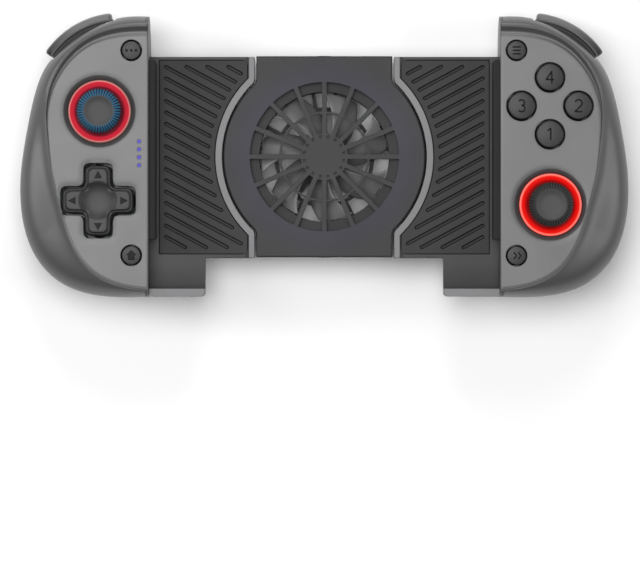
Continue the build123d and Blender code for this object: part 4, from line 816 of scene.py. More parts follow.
def rim_surface(sizes):
    """Outside of an upper shell from the seam up to the face, as rows and columns of points. Across the flank
    r runs from 1 at the widest line to 0 at the crest: the point lies at crest + r (silhouette - crest), at
    the height of a quarter ellipse, less a drop that fades in like 1 - exp(-r width/reach) where the flank
    falls away from the face. Inside the crest a band leads to the face: the rim's rise fades out, and a
    valley sinks like the square of a sine."""
    outer = columns_of(silhouette())
    crest = columns_of(spline(CREST, CURVE_POINTS))
    angle = angles_of(crest)

    def along(*values):
        return np.interp(angle, RIM_ANGLES, values)

    rise = along(0, 0, 0, 0, 0, 0.05, 0.15, 0.3, 0.55, 0.8, 1, 1, 1, 1) * sizes.rim_rise / MM
    valley = along(0, 0, 0, 0, 0, 0.1, 0.3, 0.6, 0.9, 1, 1, 1.05, 1.15, 1.2) * sizes.valley_depth / MM
    drop = along(0.15, 0.35, 0.9, 1, 1, 1, 0.85, 0.65, 0.4, 0.15, 0, 0, 0, 0) * sizes.flank_drop / MM
    band = along(0.8, 0.8, 0.7, 0.5, 0.4, 0.35, 0.4, 0.7, 1.2, 1.7, 2.3, 2.9, 3.5, 3.6)
    reach = along(2.0, 2.0, 2.4, 2.4, 1.8, 1.5, 1.3, 1.2, 1.0, 1.0, 1.0, 1.0, 1.0, 1.0)
    width = np.linalg.norm(outer - crest, axis=1)
    low = math.asin((POCKET_TOP - PARTING) / (FACE + sizes.rim_rise / MM - PARTING))
    upper = 1 - (1 - np.linspace(0, 1, 34)) ** 1.6
    sweep = np.concatenate((np.linspace(0, low, 8, endpoint=False), low + (np.pi / 2 - low) * upper))
    r, up = np.cos(sweep)[:, None], np.sin(sweep)[:, None]
    r[-1] = 0.0
    flank = crest + (outer - crest) * r[..., None]
    flank_z = PARTING + (FACE + rise - PARTING) * up - drop * (1 - np.exp(-r * width / reach)) * (1 - r**2)
    seam = sizes.seam / MM
    flank_z[0] = PARTING + seam
    q = np.linspace(0, 1, 19)[1:, None] ** 1.3
    inside_band = crest - normals_of(crest) * (q * band)[..., None]
    band_z = FACE + rise * (1 - step_between(q, 0.0, 0.8)) - valley * np.sin(np.pi * q) ** 2
    plan = np.concatenate((seam_inset(outer, seam)[None], flank, inside_band))
    height = np.vstack((np.full(len(crest), PARTING + seam / 2), flank_z, band_z))
    return np.concatenate((plan, height[..., None]), axis=2)


def front_face(shape, outline, left, sizes):
    """The face inside the rim, its holes with their walls, and the slope inside the stick's bezel."""
    around = resampled(outline, 0.5)
    stick, holes, hollows = face_holes(left)
    depth = sizes.hollow_depth / MM

    def height(points):
        """The face, less a soft hollow round the stick and the D-pad that fades out within 1.5 mm."""
        far = np.linalg.norm(points - np.array(stick), axis=1) - BEZEL_RADIUS
        sink = depth * (1 - step_between(far, -0.3, 1.2))
        for loop in hollows:
            away = np.where(inside(points, loop), 0.0, clearance(points, [loop]))
            sink = np.maximum(sink, depth * (1 - step_between(away, 0.0, 1.5)))
        return FACE - sink * step_between(clearance(points, [around]), 0.0, 1.2)

    bezel = circle(stick, BEZEL_RADIUS, 96)
    rims = [bezel, *holes]
    guards = [widened(loop, GUARD) for loop in rims]
    shape.fill(outline, guards, height, inner=field_points(around, guards, 0.9))
    for rim, guard in zip(rims, guards):
        shape.wall(rim, guard, height(rim), height(guard), flip=True)
    for rim in holes:
        shape.wall(rim, rim, height(rim) - HOLE_DEPTH, height(rim), flip=True)
    (deep_radius, deep), (step_radius, step) = BEZEL_STEPS
    foot, ledge = circle(stick, deep_radius, 96), circle(stick, step_radius, 96)
    shape.wall(foot, ledge, FACE + deep, FACE + step, flip=True)
    shape.wall(ledge, bezel, FACE + step, height(bezel), flip=True)


def front_shell(left):
    """Upper shell of a grip: flank and rim, the upper half of the shoulder pocket, inner wall and face."""
    sizes = bpy.context.scene.grip_shell
    surface = rim_surface(sizes)
    foot = PARTING + sizes.seam / MM / 2
    shape = Shape(mirrored=left)
    keep = np.ones((surface.shape[0] - 1, surface.shape[1] - 1), bool)
    keep[:FRONT_POCKET_ROW, POCKET] = False
    shape.grid(*np.moveaxis(surface, 2, 0), keep=keep, flip=True)
    pocket_walls(shape, surface[:FRONT_POCKET_ROW + 1, POCKET.start:POCKET.stop + 1], foot, POCKET_TOP, -1)
    inner_wall(shape, np.vstack((surface[:, -1], surface[::-1, 0])), foot)
    front_face(shape, turned_loop(surface[-1, :, :2]), left, sizes)
    return shape


def widened(loop, step):
    """A closed loop pushed outwards along its own normals."""
    along = np.roll(loop, -1, axis=0) - np.roll(loop, 1, axis=0)
    along /= np.linalg.norm(along, axis=1)[:, None]
    return loop + step * np.column_stack((along[:, 1], -along[:, 0]))


def field_points(outline, holes, step):
    """Evenly spread points inside an outline, clear of it and of its holes."""
    low, high = outline.min(axis=0), outline.max(axis=0)
    x, y = np.meshgrid(np.arange(low[0], high[0], step), np.arange(low[1], high[1], step))
    x = x + (np.arange(x.shape[0])[:, None] % 2) * step / 2
    points = np.column_stack((x.ravel(), y.ravel()))
    points = points[inside(points, outline)]
    for hole in holes:
        points = points[~inside(points, hole)]
    return points[clearance(points, [outline, *holes]) > step * 0.45]


def cross_loop(half_span, half_arm, inset=0.0, step=0.25, window=3.0):
    """The D-pad's cross with rounded corners, drawn in by inset."""
    a, b = half_span - inset, half_arm - inset
    corners = np.array([
        (a, -b), (a, b), (b, b), (b, a), (-b, a), (-b, b),
        (-a, b), (-a, -b), (-b, -b), (-b, -a), (b, -a), (b, -b),
    ])
    sides = np.tile((2 * half_arm, half_span - half_arm, half_span - half_arm), 4)
    counts = [max(2, int(round(side / step))) for side in sides]
    ends = np.roll(corners, -1, axis=0)
    loop = np.vstack([
        corners[i] + (ends[i] - corners[i]) * (np.arange(n) / n)[:, None] for i, n in enumerate(counts)
    ])
    return averaged(loop, max(1, int(round(window / step / 2)))) + np.array(DPAD)


def face_holes(left):
    """The stick's place, the outlines of the face's holes, and those round which it is hollowed."""
    small = LEFT_SMALL_BUTTONS if left else RIGHT_SMALL_BUTTONS
    holes = [circle(place, SMALL_HOLE, 48) for place in small.values()]
    if left:
        cross = cross_loop(*DPAD_HOLE)
        return LEFT_STICK, [*holes, *(circle(place, LIGHT_HOLE, 20) for place in LIGHTS), cross], [cross]
    return RIGHT_STICK, [*holes, *(circle(place, FACE_HOLE) for place in FACE_BUTTONS.values())], []


def rear_shell(left):
    """Lower shell of a grip. At the share h of its height the widest line is drawn in towards the inner wall
    and the middle by f = (1 - (1 - h)^2.2)^0.75: the width is 0.62 + 0.38 f of the whole, the length 0.8 +
    0.2 f."""
    seam = bpy.context.scene.grip_shell.seam / MM
    foot = PARTING - seam / 2
    heights = np.concatenate((
        [foot, PARTING - seam], np.linspace(PARTING - 1, POCKET_BOTTOM, 10),
        POCKET_BOTTOM * (1 - np.linspace(0, 1, 17)[1:]) ** 1.5,
    ))
    fixed = np.array((GRIP_INNER_X, GRIP_MIDDLE_Y))
    whole = silhouette() - fixed
    lines = []
    for z in heights:
        f = (1 - (1 - min(z / PARTING, 0.99)) ** 2.2) ** 0.75
        lines.append(columns_of(fixed + whole * (0.62 + 0.38 * f, 0.8 + 0.2 * f)))
    lines[0] = seam_inset(lines[0], seam)
    plan = np.array(lines)
    surface = np.concatenate((plan, np.broadcast_to(heights[:, None, None], (*plan.shape[:2], 1))), axis=2)
    shape = Shape(mirrored=left)
    keep = np.ones((plan.shape[0] - 1, plan.shape[1] - 1), bool)
    keep[:REAR_POCKET_ROW, POCKET] = False
    shape.grid(*np.moveaxis(surface, 2, 0), keep=keep)
    pocket_walls(shape, surface[REAR_POCKET_ROW::-1, POCKET.start:POCKET.stop + 1], POCKET_BOTTOM, foot, 0)
    inner_wall(shape, np.vstack((surface[:, -1], surface[::-1, 0])), foot, upward=False)
    holes = [circle(place, SCREW_HOLE, 32) for place in SCREWS]
    shape.fill(turned_loop(surface[-1, :, :2]), holes, 0.0, flip=True)
    return shape


def thickened(made, thickness):
    """Gives a skin its wall, inwards."""
    wall = made.modifiers.new("Wall", "SOLIDIFY")
    wall.thickness = thickness
    wall.offset = -1
    wall.use_even_offset = False
    wall.use_quality_normals = True
    wall.thickness_clamp = 1.0


def spare_corners(made):
    """Keeps the wall thin where a grip's inner wall turns into its two ends, so that it doesn't fold."""
    wall_reach, end_reach = 1.2, 1.735
    place = np.empty(len(made.data.vertices) * 3)
    made.data.vertices.foreach_get("co", place)
    place = np.abs(place.reshape(-1, 3) / MM - (0, GRIP_MIDDLE_Y, 0))
    near = (place[:, 0] < GRIP_INNER_X + wall_reach) & (place[:, 1] > GRIP_LENGTH / 2 - end_reach)
    full = made.vertex_groups.new(name="wall")
    full.add(np.flatnonzero(~near).tolist(), 1.0, "REPLACE")
    made.modifiers["Wall"].vertex_group = full.name
    made.modifiers["Wall"].thickness_vertex_group = 0.03


def cut_away(made, cutter, finish, body):
    """Cuts a shape out of a piece and keeps the result as the piece's mesh."""
    tool = cutter.piece("cutter", finish, body)
    cut = made.modifiers.new("Opening", "BOOLEAN")
    cut.object, cut.solver, cut.operation = tool, "EXACT", "DIFFERENCE"
    bpy.context.view_layer.update()
    result = bpy.data.meshes.new_from_object(made.evaluated_get(bpy.context.evaluated_depsgraph_get()))
    made.modifiers.clear()
    made.data = result
    bpy.data.objects.remove(tool)


def tray_opening(left):
    """The tray's opening in a grip's inner wall: a rectangle about the fan's Y, carried along Z."""
    inner, outer = 50.0, 60.0  # well past both faces of the wall
    low, high = FAN[1] - TRAY_HALF_WIDTH, FAN[1] + TRAY_HALF_WIDTH
    loop = np.array(((inner, low), (outer, low), (outer, high), (inner, high)))
    shape = Shape(mirrored=left)
    shape.wall(loop, loop, *TRAY_HEIGHTS)
    for z, flip in zip(TRAY_HEIGHTS, (True, False)):
        shape.cap(loop[:, 0], loop[:, 1], z, flip=flip)
    return shape


def port_opening(left):
    """The charge port's opening in a grip's front: a capsule in X and Z, carried along Y."""
    (x, z), (half_width, half_height) = PORT_PLACE, PORT_HALF_SIZE
    arm = half_width - half_height
    loop = capsule((x - arm, z), (x + arm, z), half_height)
    ends = np.array((-50.0, -38.0))  # well past both faces of the wall
    shape = Shape(mirrored=left)
    shape.grid(loop[:, 0], ends[:, None], loop[:, 1], wrap=True)
    for y, flip in zip(ends, (True, False)):
        shape.cap(loop[:, 0], y, loop[:, 1], flip=flip)
    return shape


# Pads

PAD_X = (24.7, 53.2)
PAD_Y = (-32.2, 30.25)
PAD_ARC = 35.3                # radius of the hollowed side, about the fan


def pad_loop(inset):
    """The pad's outline drawn in by inset: a rectangle hollowed by an arc about the fan."""
    (x0, x1), (y0, y1), radius = PAD_X, PAD_Y, PAD_ARC + inset
    x0, x1, y0, y1 = x0 + inset, x1 - inset, y0 + inset, y1 - inset
    swing = math.acos(x0 / radius)
    angle = np.linspace(swing, -swing, 120)
    arc = np.column_stack((FAN[0] + radius * np.cos(angle), FAN[1] + radius * np.sin(angle)))
    return np.vstack((((x1, y0), (x1, y1), (x0, y1)), arc, ((x0, y0),)))


def pad_slots(sizes):
    """Ends of each slot's middle line. A line slopes down towards the fan; what of it lies in the field, a
    margin inside the pad's outline, is a slot."""
    margin, shortest = 1.5, 1.2
    first_x, first_y, count = 51.7, 43.0, 26
    field = pad_loop(margin + sizes.slot_width / MM / 2)
    x = np.arange(*PAD_X, 0.02)
    ends = []
    for number in range(count):
        y = first_y - number * sizes.pitch / MM - (first_x - x) * math.tan(sizes.slope)
        good = inside(np.column_stack((x, y)), field)
        edges = np.flatnonzero(np.diff(np.concatenate(([0], good.astype(int), [0]))))
        for a, b in zip(edges[::2], edges[1::2]):
            if x[b - 1] - x[a] > shortest:
                ends.append(((x[a], y[a]), (x[b - 1], y[b - 1])))
    return ends


def pad(left):
    """A rubber pad: a flat face round slots whose walls slope in to a narrower floor."""
    sizes = bpy.context.scene.grip_pad
    top, bottom, bevel = 17.9, 16.8, 0.16
    outer = turned_loop(softened(pad_loop(0.0), 0.2, 0.7))
    soft = turned_loop(softened(pad_loop(bevel), 0.2, 0.7))
    share, at = np.arange(len(outer)) / len(outer), np.arange(len(soft) + 1) / len(soft)
    closed = np.vstack((soft, soft[:1]))
    soft = np.column_stack([np.interp(share, at, closed[:, i]) for i in (0, 1)])
    soft = min((np.roll(soft, k, axis=0) for k in range(-3, 4)), key=lambda loop: np.sum((loop - outer) ** 2))
    shape = Shape(mirrored=left)
    shape.wall(outer, outer, bottom, top - bevel)
    shape.wall(outer, soft, top - bevel, top)
    slots = pad_slots(sizes)
    rims = [capsule(a, b, sizes.slot_width / MM / 2) for a, b in slots]
    feet = [capsule(a, b, sizes.slot_floor / MM / 2) for a, b in slots]
    shape.fill(soft, rims, top)
    floor = top - sizes.slot_depth / MM
    for rim, foot in zip(rims, feet):
        shape.wall(foot, rim, floor, top)
        shape.cap(foot[:, 0], foot[:, 1], floor)
    shape.fill(outer, [], bottom, flip=True)
    return shape


# Sticks, buttons and D-pad


def stick_cap(place, left):
    """A stick's cap turned from one profile: hollow top, knurled edge, neck, and the dome round the pivot.
    The knurled edge's radius dips by the tooth depth times a power of a cosine of the teeth's number times
    the angle."""
    sizes = bpy.context.scene.grip_stick
    top, pivot, dome_radius, dome_wall = 40.0, 21.5, 9.5, 0.6
    r = np.array((0.0, 1.2, 2.4, 3.4, 4.1, 4.45, 4.65, 4.85, 5.1))
    hollow = top - sizes.dish_depth / MM * (1 - step_between(r, 3.0, 5.0)) - 0.05 * (r > 5.0)
    edge = np.array((
        (5.35, 39.98), (5.6, 39.93), (6.0, 39.75), (6.4, 39.5), (6.8, 39.1), (7.08, 38.6), (7.2, 38.0),
        (7.2, 37.5), (7.1, 37.05), (6.8, 36.75), (6.2, 36.62), (5.2, 36.6), (4.2, 36.6), (3.5, 36.3),
        (3.0, 35.7), (2.8, 35.0), (2.8, 32.5), (2.82, 30.9),
    ))
    bend = np.radians(np.linspace(18.0, 50.0, 14))
    dome = np.column_stack((np.sin(bend), np.cos(bend))) * dome_radius
    back = np.radians(np.linspace(50.0, 0.0, 10))
    under = np.column_stack((np.sin(back), np.cos(back))) * (dome_radius - dome_wall)
    profile = np.vstack((np.column_stack((r, hollow)), edge, dome + (0, pivot), under + (0, pivot)))

    def teeth(rows, angle):
        on = step_between(rows[:, 0], 5.2, 5.7) * step_between(rows[:, 1], 36.7, 37.2)
        return -on[:, None] * sizes.tooth_depth / MM * (0.5 - 0.5 * np.cos(sizes.teeth * angle)) ** 0.7

    shape = Shape(mirrored=left)
    shape.turn(place, profile, count=sizes.teeth * 8, wobble=teeth)
    return shape


def lit_bowl(place, left):
    """The lit bowl round a stick: a concave cone from the bore to the lip; its share attribute grows from 0
    at the bore to 1 at the outside."""
    bore, bottom, width = 6.6, 28.6, 3.4
    cone_bottom, cone_width, cone_height = 29.0, 2.75, 2.0
    t = np.linspace(0, 1, 14)
    cone = np.column_stack((bore + cone_width * t, cone_bottom + cone_height * t**1.5))
    rest = np.array((
        (9.6, 31.05), (9.9, 30.98), (10.0, 30.8), (10.0, 29.7), (11.2, 29.7), (11.2, bottom), (bore, bottom),
        cone[0],
    ))
    share = np.concatenate(((cone[:, 0] - bore) / width, (0.88, 0.97, 1.0, 1.0, 1.0, 1.0, 0.0, 0.0)))
    shape = Shape(mirrored=left)
    shape.turn(place, np.vstack((cone, rest)), share=share)
    return shape


def button_top(place, size, crown):
    """Height of a button's crown over plan points: its top less crown times the square of r/radius."""
    radius, top, _ = size

    def height(points):
        share = np.linalg.norm(points - np.array(place), axis=1) / radius
        return top - crown * share**2
    return height


def round_button(place, size, crown, left):
    """A round button turned from one profile: crown, rounded edge, side, underside and stem."""
    radius, top, edge = size
    underside, stem, stem_foot = 28.1, 2.0, 22.0
    r = np.linspace(0, radius - edge, 10)
    upper = np.column_stack((r, top - crown * (r / radius) ** 2))
    turn = np.linspace(0, np.pi / 2, 7)[1:]
    corner = np.column_stack((radius - edge + edge * np.sin(turn), upper[-1, 1] - edge + edge * np.cos(turn)))
    rest = np.array(((radius, underside), (stem, underside), (stem, stem_foot), (0.0, stem_foot)))
    shape = Shape(mirrored=left)
    shape.turn(place, np.vstack((upper, corner, rest)), count=72)
    return shape


def stroke(shape, path, width, height, lift=0.02, step=0.12):
    """A mark's line: a ribbon along a path with round ends. Its half width falls as the root of 1 - s squared
    over the last half width at each end; its height follows the surface below plus lift."""
    path = np.asarray(path, float)
    run = np.concatenate(([0.0], np.cumsum(np.linalg.norm(np.diff(path, axis=0), axis=1))))
    total = run[-1]
    half = width / 2
    bend = half * (1 - np.cos(np.linspace(0, np.pi / 2, 6)))
    at = np.unique(np.concatenate((np.linspace(0, total, max(8, int(total / step))), bend, total - bend)))
    line = np.stack([np.interp(at, run, path[:, i]) for i in (0, 1)], axis=1)
    along = np.gradient(line, axis=0)
    along /= np.maximum(np.linalg.norm(along, axis=1), 1e-9)[:, None]
    across = np.column_stack((-along[:, 1], along[:, 0]))
    end = np.minimum(at, total - at)
    size = half * np.sqrt(np.clip(1 - np.clip(1 - end / half, 0, 1) ** 2, 0.0004, 1))
    side = np.array((-1.0, 0.0, 1.0))
    x = line[:, 0][:, None] + across[:, 0][:, None] * size[:, None] * side
    y = line[:, 1][:, None] + across[:, 1][:, None] * size[:, None] * side
    z = height(np.column_stack((x.ravel(), y.ravel()))).reshape(x.shape) + lift
    shape.grid(x, y, z, flip=True)


def patch(shape, loop, height, lift=0.02):
    """A mark's filled part inside a loop."""
    loop = turned_loop(np.asarray(loop, float))
    shape.fill(loop, [], lambda points: height(points) + lift, inner=field_points(loop, [], 0.2))


def arc_path(centre, radius, start, end, count=28):
    angle = np.radians(np.linspace(start, end, count))
    return np.column_stack((centre[0] + radius * np.cos(angle), centre[1] + radius * np.sin(angle)))


def digit_paths(digit):
    """Lines of a digit in a box two wide and three and a half high, about its middle."""
    if digit == 1:
        return [np.array(((-0.75, 0.95), (0.15, 1.7), (0.15, -1.7)))]
    if digit == 2:
        hook = arc_path((0.0, 0.72), 0.98, 165, -35)
        return [np.vstack((hook, ((-1.0, -1.7), (1.1, -1.7))))]
    if digit == 3:
        upper = arc_path((-0.05, 0.82), 0.86, 150, -75)
        lower = arc_path((-0.05, -0.76), 0.94, 80, -150)
        return [np.vstack((upper, lower))]
    return [np.array(((0.45, -1.7), (0.45, 1.7), (-1.15, -0.65), (1.15, -0.65)))]


def dpad_surface(sizes):
    """Height of the D-pad's middle over plan points: a dish that sinks by its depth times one less the cube
    of the distance's share of the dish's radius."""
    top, dish_radius = 33.5, 6.1

    def height(points):
        share = np.linalg.norm(points - np.array(DPAD), axis=1) / dish_radius
        return top - sizes.dpad_dish / MM * np.clip(1 - share**3, 0, 1)
    return top, height


def dpad(sizes):
    """The cross: loops drawn in step by step carry its side, its bevel and a fine line inside it, and a sheet
    with a dished middle closes it. Turned posts below it are its stem and its four legs."""
    half_span, half_arm, underside = 11.3, 4.1, 29.8
    top, height = dpad_surface(sizes)
    steps = (
        (0.0, 32.6), (0.1, 32.85), (0.3, 33.05), (0.55, 33.2), (0.72, 33.22), (0.8, 33.06), (0.92, 33.06),
        (1.0, 33.3), (1.2, 33.45), (1.5, top),
    )
    loops = [cross_loop(half_span, half_arm, inset) for inset, _ in steps]
    levels = [height(loop) - top + level for loop, (_, level) in zip(loops, steps)]
    loops.insert(0, loops[0])
    levels.insert(0, np.full(len(loops[0]), underside))
    side = np.array(loops)
    shape = Shape(mirrored=True)
    shape.grid(side[..., 0], side[..., 1], np.array(levels), wrap=True)
    shape.fill(side[-1], [], height, inner=field_points(side[-1], [], 0.5))
    shape.fill(side[0], [], underside, flip=True)
    legs = [(x, y, 1.4, 22.0) for x, y in ((9.2, 0.0), (0.0, 9.2), (-9.2, 0.0), (0.0, -9.2))]
    for x, y, radius, foot in [(0.0, 0.0, 1.2, 26.0), *legs]:
        head = underside + 0.4
        post = ((0.0, foot), (radius - 0.2, foot), (radius, foot + 0.2), (radius, head), (0.0, head))
        shape.turn((DPAD[0] + x, DPAD[1] + y), post, count=32)
    return shape, height


# Shoulder buttons


def rounded(corners, radii, count=6):
    """A closed section whose corners are rounded: each corner's arc is a quadratic curve from one side, at
    the corner's radius, to the other."""
    corners = np.asarray(corners, float)
    before = np.roll(corners, 1, axis=0) - corners
    after = np.roll(corners, -1, axis=0) - corners
    before /= np.linalg.norm(before, axis=1)[:, None]
    after /= np.linalg.norm(after, axis=1)[:, None]
    t = np.linspace(0, 1, count)[:, None]
    return np.vstack([
        c + a * r * (1 - t) ** 2 + b * r * t**2 for c, a, b, r in zip(corners, before, after, radii)
    ])


def arc_bar(section, middle, start, end, swell, left, count=90):
    """A section of radius and height carried round the shoulder's centre. Towards both ends it shrinks about
    its middle like the root of 1 - s squared over the angle of swell, which rounds the ends."""
    angle = np.linspace(start, end, count)
    s = np.clip(1 - np.minimum(angle - start, end - angle) / swell, 0, 1)
    size = (0.55 + 0.45 * np.sqrt(1 - s**2))[:, None]
    radius = middle[0] + (section[:, 0] - middle[0])[None] * size
    height = middle[1] + (section[:, 1] - middle[1])[None] * size
    turn = np.radians(angle)[:, None]
    x, y = SHOULDER[0] + radius * np.cos(turn), SHOULDER[1] + radius * np.sin(turn)
    shape = Shape(mirrored=left)
    share = np.repeat(((angle - start) / (end - start))[:, None], len(section), axis=1)
    shape.grid(x, y, height, wrap=True, share=share)
    for row in (0, -1):
        shape.cap(x[row], y[row], height[row], share[row])
    return shape


def trigger(left):
    """The lower shoulder button: a plate whose outside bulges, with its arm reaching in above."""
    section = rounded(
        ((26.5, 8.6), (28.0, 8.7), (29.0, 12.5), (28.9, 17.0),
         (28.2, 19.4), (21.9, 19.4), (21.9, 15.6), (26.4, 15.4)),
        (0.4, 0.8, 2.0, 1.6, 0.8, 0.5, 0.5, 0.8),
    )
    return arc_bar(section, (27.4, 14.5), start=33.7, end=84.8, swell=2.4, left=left)


def bumper(left):
    """The upper shoulder button: a bar whose top leans outwards, with a step along it."""
    section = rounded(
        ((22.8, 20.6), (26.6, 20.6), (26.75, 22.5), (26.1, 25.4), (25.5, 25.6), (25.0, 27.1), (22.8, 27.1)),
        (0.3, 0.5, 0.9, 0.3, 0.25, 0.6, 0.3),
    )
    return arc_bar(section, (24.8, 23.6), start=34.0, end=86.5, swell=1.2, left=left)


# Fan


def fan_rotor():
    """Hub, shaft and blades. A blade is a loop round its section at each radius: chord and thickness follow
    the section, the pitch angle falls from hub to tip, and the section's middle is turned round the axis by
    the sweep."""
    sizes = bpy.context.scene.grip_fan
    root, tip, middle, half_height = 6.4, 20.4, 10.7, 2.7
    shape = Shape()
    hub = np.array((
        (0.0, 13.5), (5.8, 13.5), (6.6, 13.3), (7.0, 12.8), (7.0, 7.9), (6.0, 7.9), (6.0, 12.3), (1.0, 12.3),
        (1.0, 6.4), (0.0, 6.4),
    ))
    shape.turn(FAN, hub, count=96)
    radius = np.linspace(root, tip, 22)[:, None]
    share = (radius - root) / (tip - root)
    around = np.linspace(0, 2 * np.pi, 28, endpoint=False)
    chord = 7.4 + 4.6 * share
    thick = 1.0 - 0.35 * share
    pitch = np.radians(40 - 20 * share)
    along = np.cos(around) * chord / 2
    over = np.sin(around) * thick / 2 * (1 + 0.5 * np.cos(around)) + 0.5 * (1 - (2 * along / chord) ** 2)
    flat = along * np.cos(pitch) - over * np.sin(pitch)
    z = middle + np.clip(along * np.sin(pitch) + over * np.cos(pitch), -half_height, half_height)
    for number in range(sizes.blades):
        angle = number * 2 * np.pi / sizes.blades + sizes.sweep * share**1.3 + flat / radius
        x = FAN[0] + radius * np.cos(angle)
        y = FAN[1] + radius * np.sin(angle)
        shape.grid(x, y, z, wrap=True)
        for row, flip in ((0, False), (-1, True)):
            shape.cap(x[row], y[row], z[row], flip=flip)
    return shape


# Operators


class MakeGripShells(bpy.types.Operator):
    """Both grips' upper and lower shells"""
    bl_idname = "phone_grip.shells"
    bl_label = "Grip shells"

    def execute(self, context):
        for side, left in (("left", True), ("right", False)):
            body = f"{side}_grip"
            for make, wall in ((front_shell, FRONT_WALL), (rear_shell, REAR_WALL)):
                name = f"{side}_{make.__name__}"
                made = make(left).piece(
                    f"{name}_skin", "shell", body, (name,), "grip_grey", crease=38, closed=False,
                )
                thickened(made, wall)
                spare_corners(made)
            cut_away(made, tray_opening(left), "shell", body)
            if left:
                cut_away(made, port_opening(left), "shell", body)
        return {"FINISHED"}


class MakePads(bpy.types.Operator):
    """The grooved pads on which the phone lies"""
    bl_idname = "phone_grip.pads"
    bl_label = "Pads"

    def execute(self, context):
        for side, left in (("left", True), ("right", False)):
            pad(left).piece(f"{side}_slotted_pad", "pad", f"{side}_grip", (f"{side}_pad",), "pad_rubber")
        return {"FINISHED"}


class MakeSticks(bpy.types.Operator):
    """Stick caps and the lit bowls round them"""
    bl_idname = "phone_grip.sticks"
    bl_label = "Sticks"

    def execute(self, context):
        for side, left, place in (("left", True, LEFT_STICK), ("right", False, RIGHT_STICK)):
            cap = f"{side}_stick_cap"
            stick_cap(place, left).piece(f"{side}_knurled_cap", f"{side}_cap", cap, (cap,), "stick_rubber")
            lit_bowl(place, left).piece(
                f"{side}_lit_bowl", f"{side}_lit", f"{side}_grip", (f"{side}_stick_ring",), "lit_red",
                crease=50,
            )
        return {"FINISHED"}


class MakeButtons(bpy.types.Operator):
    """Face buttons with plain numbers, small buttons with plain signs, and the D-pad"""
    bl_idname = "phone_grip.buttons"
    bl_label = "Buttons"

    def execute(self, context):
        sizes = context.scene.grip_buttons
        crown, line = sizes.crown / MM, sizes.mark_width / MM
        for name, place in FACE_BUTTONS.items():
            height = self.button(name, place, FACE_BUTTON, crown, False)
            ink = Shape()
            for path in digit_paths(DIGITS[name]):
                stroke(ink, path * DIGIT_SCALE + np.array(place), line, height)
            self.mark(ink, f"{name}_number", name)
        for left, places in ((True, LEFT_SMALL_BUTTONS), (False, RIGHT_SMALL_BUTTONS)):
            for name, place in places.items():
                height = self.button(name, place, SMALL_BUTTON, SMALL_CROWN, left)
                ink = Shape(mirrored=left)
                self.sign(ink, name, np.array(place), height)
                self.mark(ink, f"{name}_sign", name)
        cross, height = dpad(sizes)
        cross.piece("dpad_cross", "button", "dpad", ("dpad",), "button_dark")
        ink = Shape(mirrored=True)
        tip = np.array(((1.25, 0.0), (-1.15, 1.25), (-1.15, -1.25))) + (8.3, 0.0)
        for quarter in range(4):
            a = quarter * math.pi / 2
            turn = np.array(((math.cos(a), math.sin(a)), (-math.sin(a), math.cos(a))))
            patch(ink, softened(tip @ turn, 0.1, 0.25) + np.array(DPAD), height)
        self.mark(ink, "dpad_arrows", "dpad")
        return {"FINISHED"}

    def button(self, name, place, size, crown, left):
        """Makes a round button, and returns the height of its crown over plan points."""
        made = round_button(place, size, crown, left)
        made.piece(f"{name}_crown", "button", name, (name,), "button_dark")
        return button_top(place, size, crown)

    def mark(self, ink, name, body):
        thickened(ink.piece(name, "mark", body, closed=False), INK_THICKNESS)

    def sign(self, ink, name, place, height):
        """Three dots, a house, three bars or a double arrow."""
        if name == "more_button":
            for x in (-1.5, 0.0, 1.5):
                patch(ink, circle(place + (x, 0.0), 0.45, 20), height)
        elif name == "home_button":
            half = np.array(((1.75, 0.15), (1.1, 0.15), (1.1, -1.45)))
            house = np.vstack(((0.0, 1.75), half * (-1, 1), half[::-1]))
            patch(ink, softened(house, 0.1, 0.2) + place, height)
        elif name == "menu_button":
            for y in (-1.1, 0.0, 1.1):
                stroke(ink, np.array(((-1.35, y), (1.35, y))) + place, 0.5, height)
        else:
            for x in (-0.95, 0.45):
                stroke(ink, np.array(((x, 1.15), (x + 0.95, 0.0), (x, -1.15))) + place, 0.45, height)


class MakeShoulderButtons(bpy.types.Operator):
    """Bumpers and triggers"""
    bl_idname = "phone_grip.shoulder"
    bl_label = "Shoulder buttons"

    def execute(self, context):
        for side, left in (("left", True), ("right", False)):
            name = f"{side}_trigger"
            trigger(left).piece(f"{name}_plate", "trigger", name, (name,), "trigger_grey")
            name = f"{side}_bumper"
            bumper(left).piece(f"{name}_bar", "black", name, (name,), "button_dark")
        return {"FINISHED"}


class MakeFan(bpy.types.Operator):
    """The fan's rotor"""
    bl_idname = "phone_grip.fan"
    bl_label = "Fan"

    def execute(self, context):
        fan_rotor().piece("fan_blades", "blade", "fan_rotor", ("fan_rotor",), "frame_dark")
        return {"FINISHED"}


class FinishSolids(bpy.types.Operator):
    """Gives every solid that stays its own finish"""
    bl_idname = "phone_grip.solids"
    bl_label = "Finish the solids"

    def execute(self, context):
        for name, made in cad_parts.items():
            finish = SOLID_FINISH.get(name.removeprefix("left_").removeprefix("right_"), "dark")
            made.data.materials.clear()
            made.data.materials.append(MATERIALS[finish])
        return {"FINISHED"}


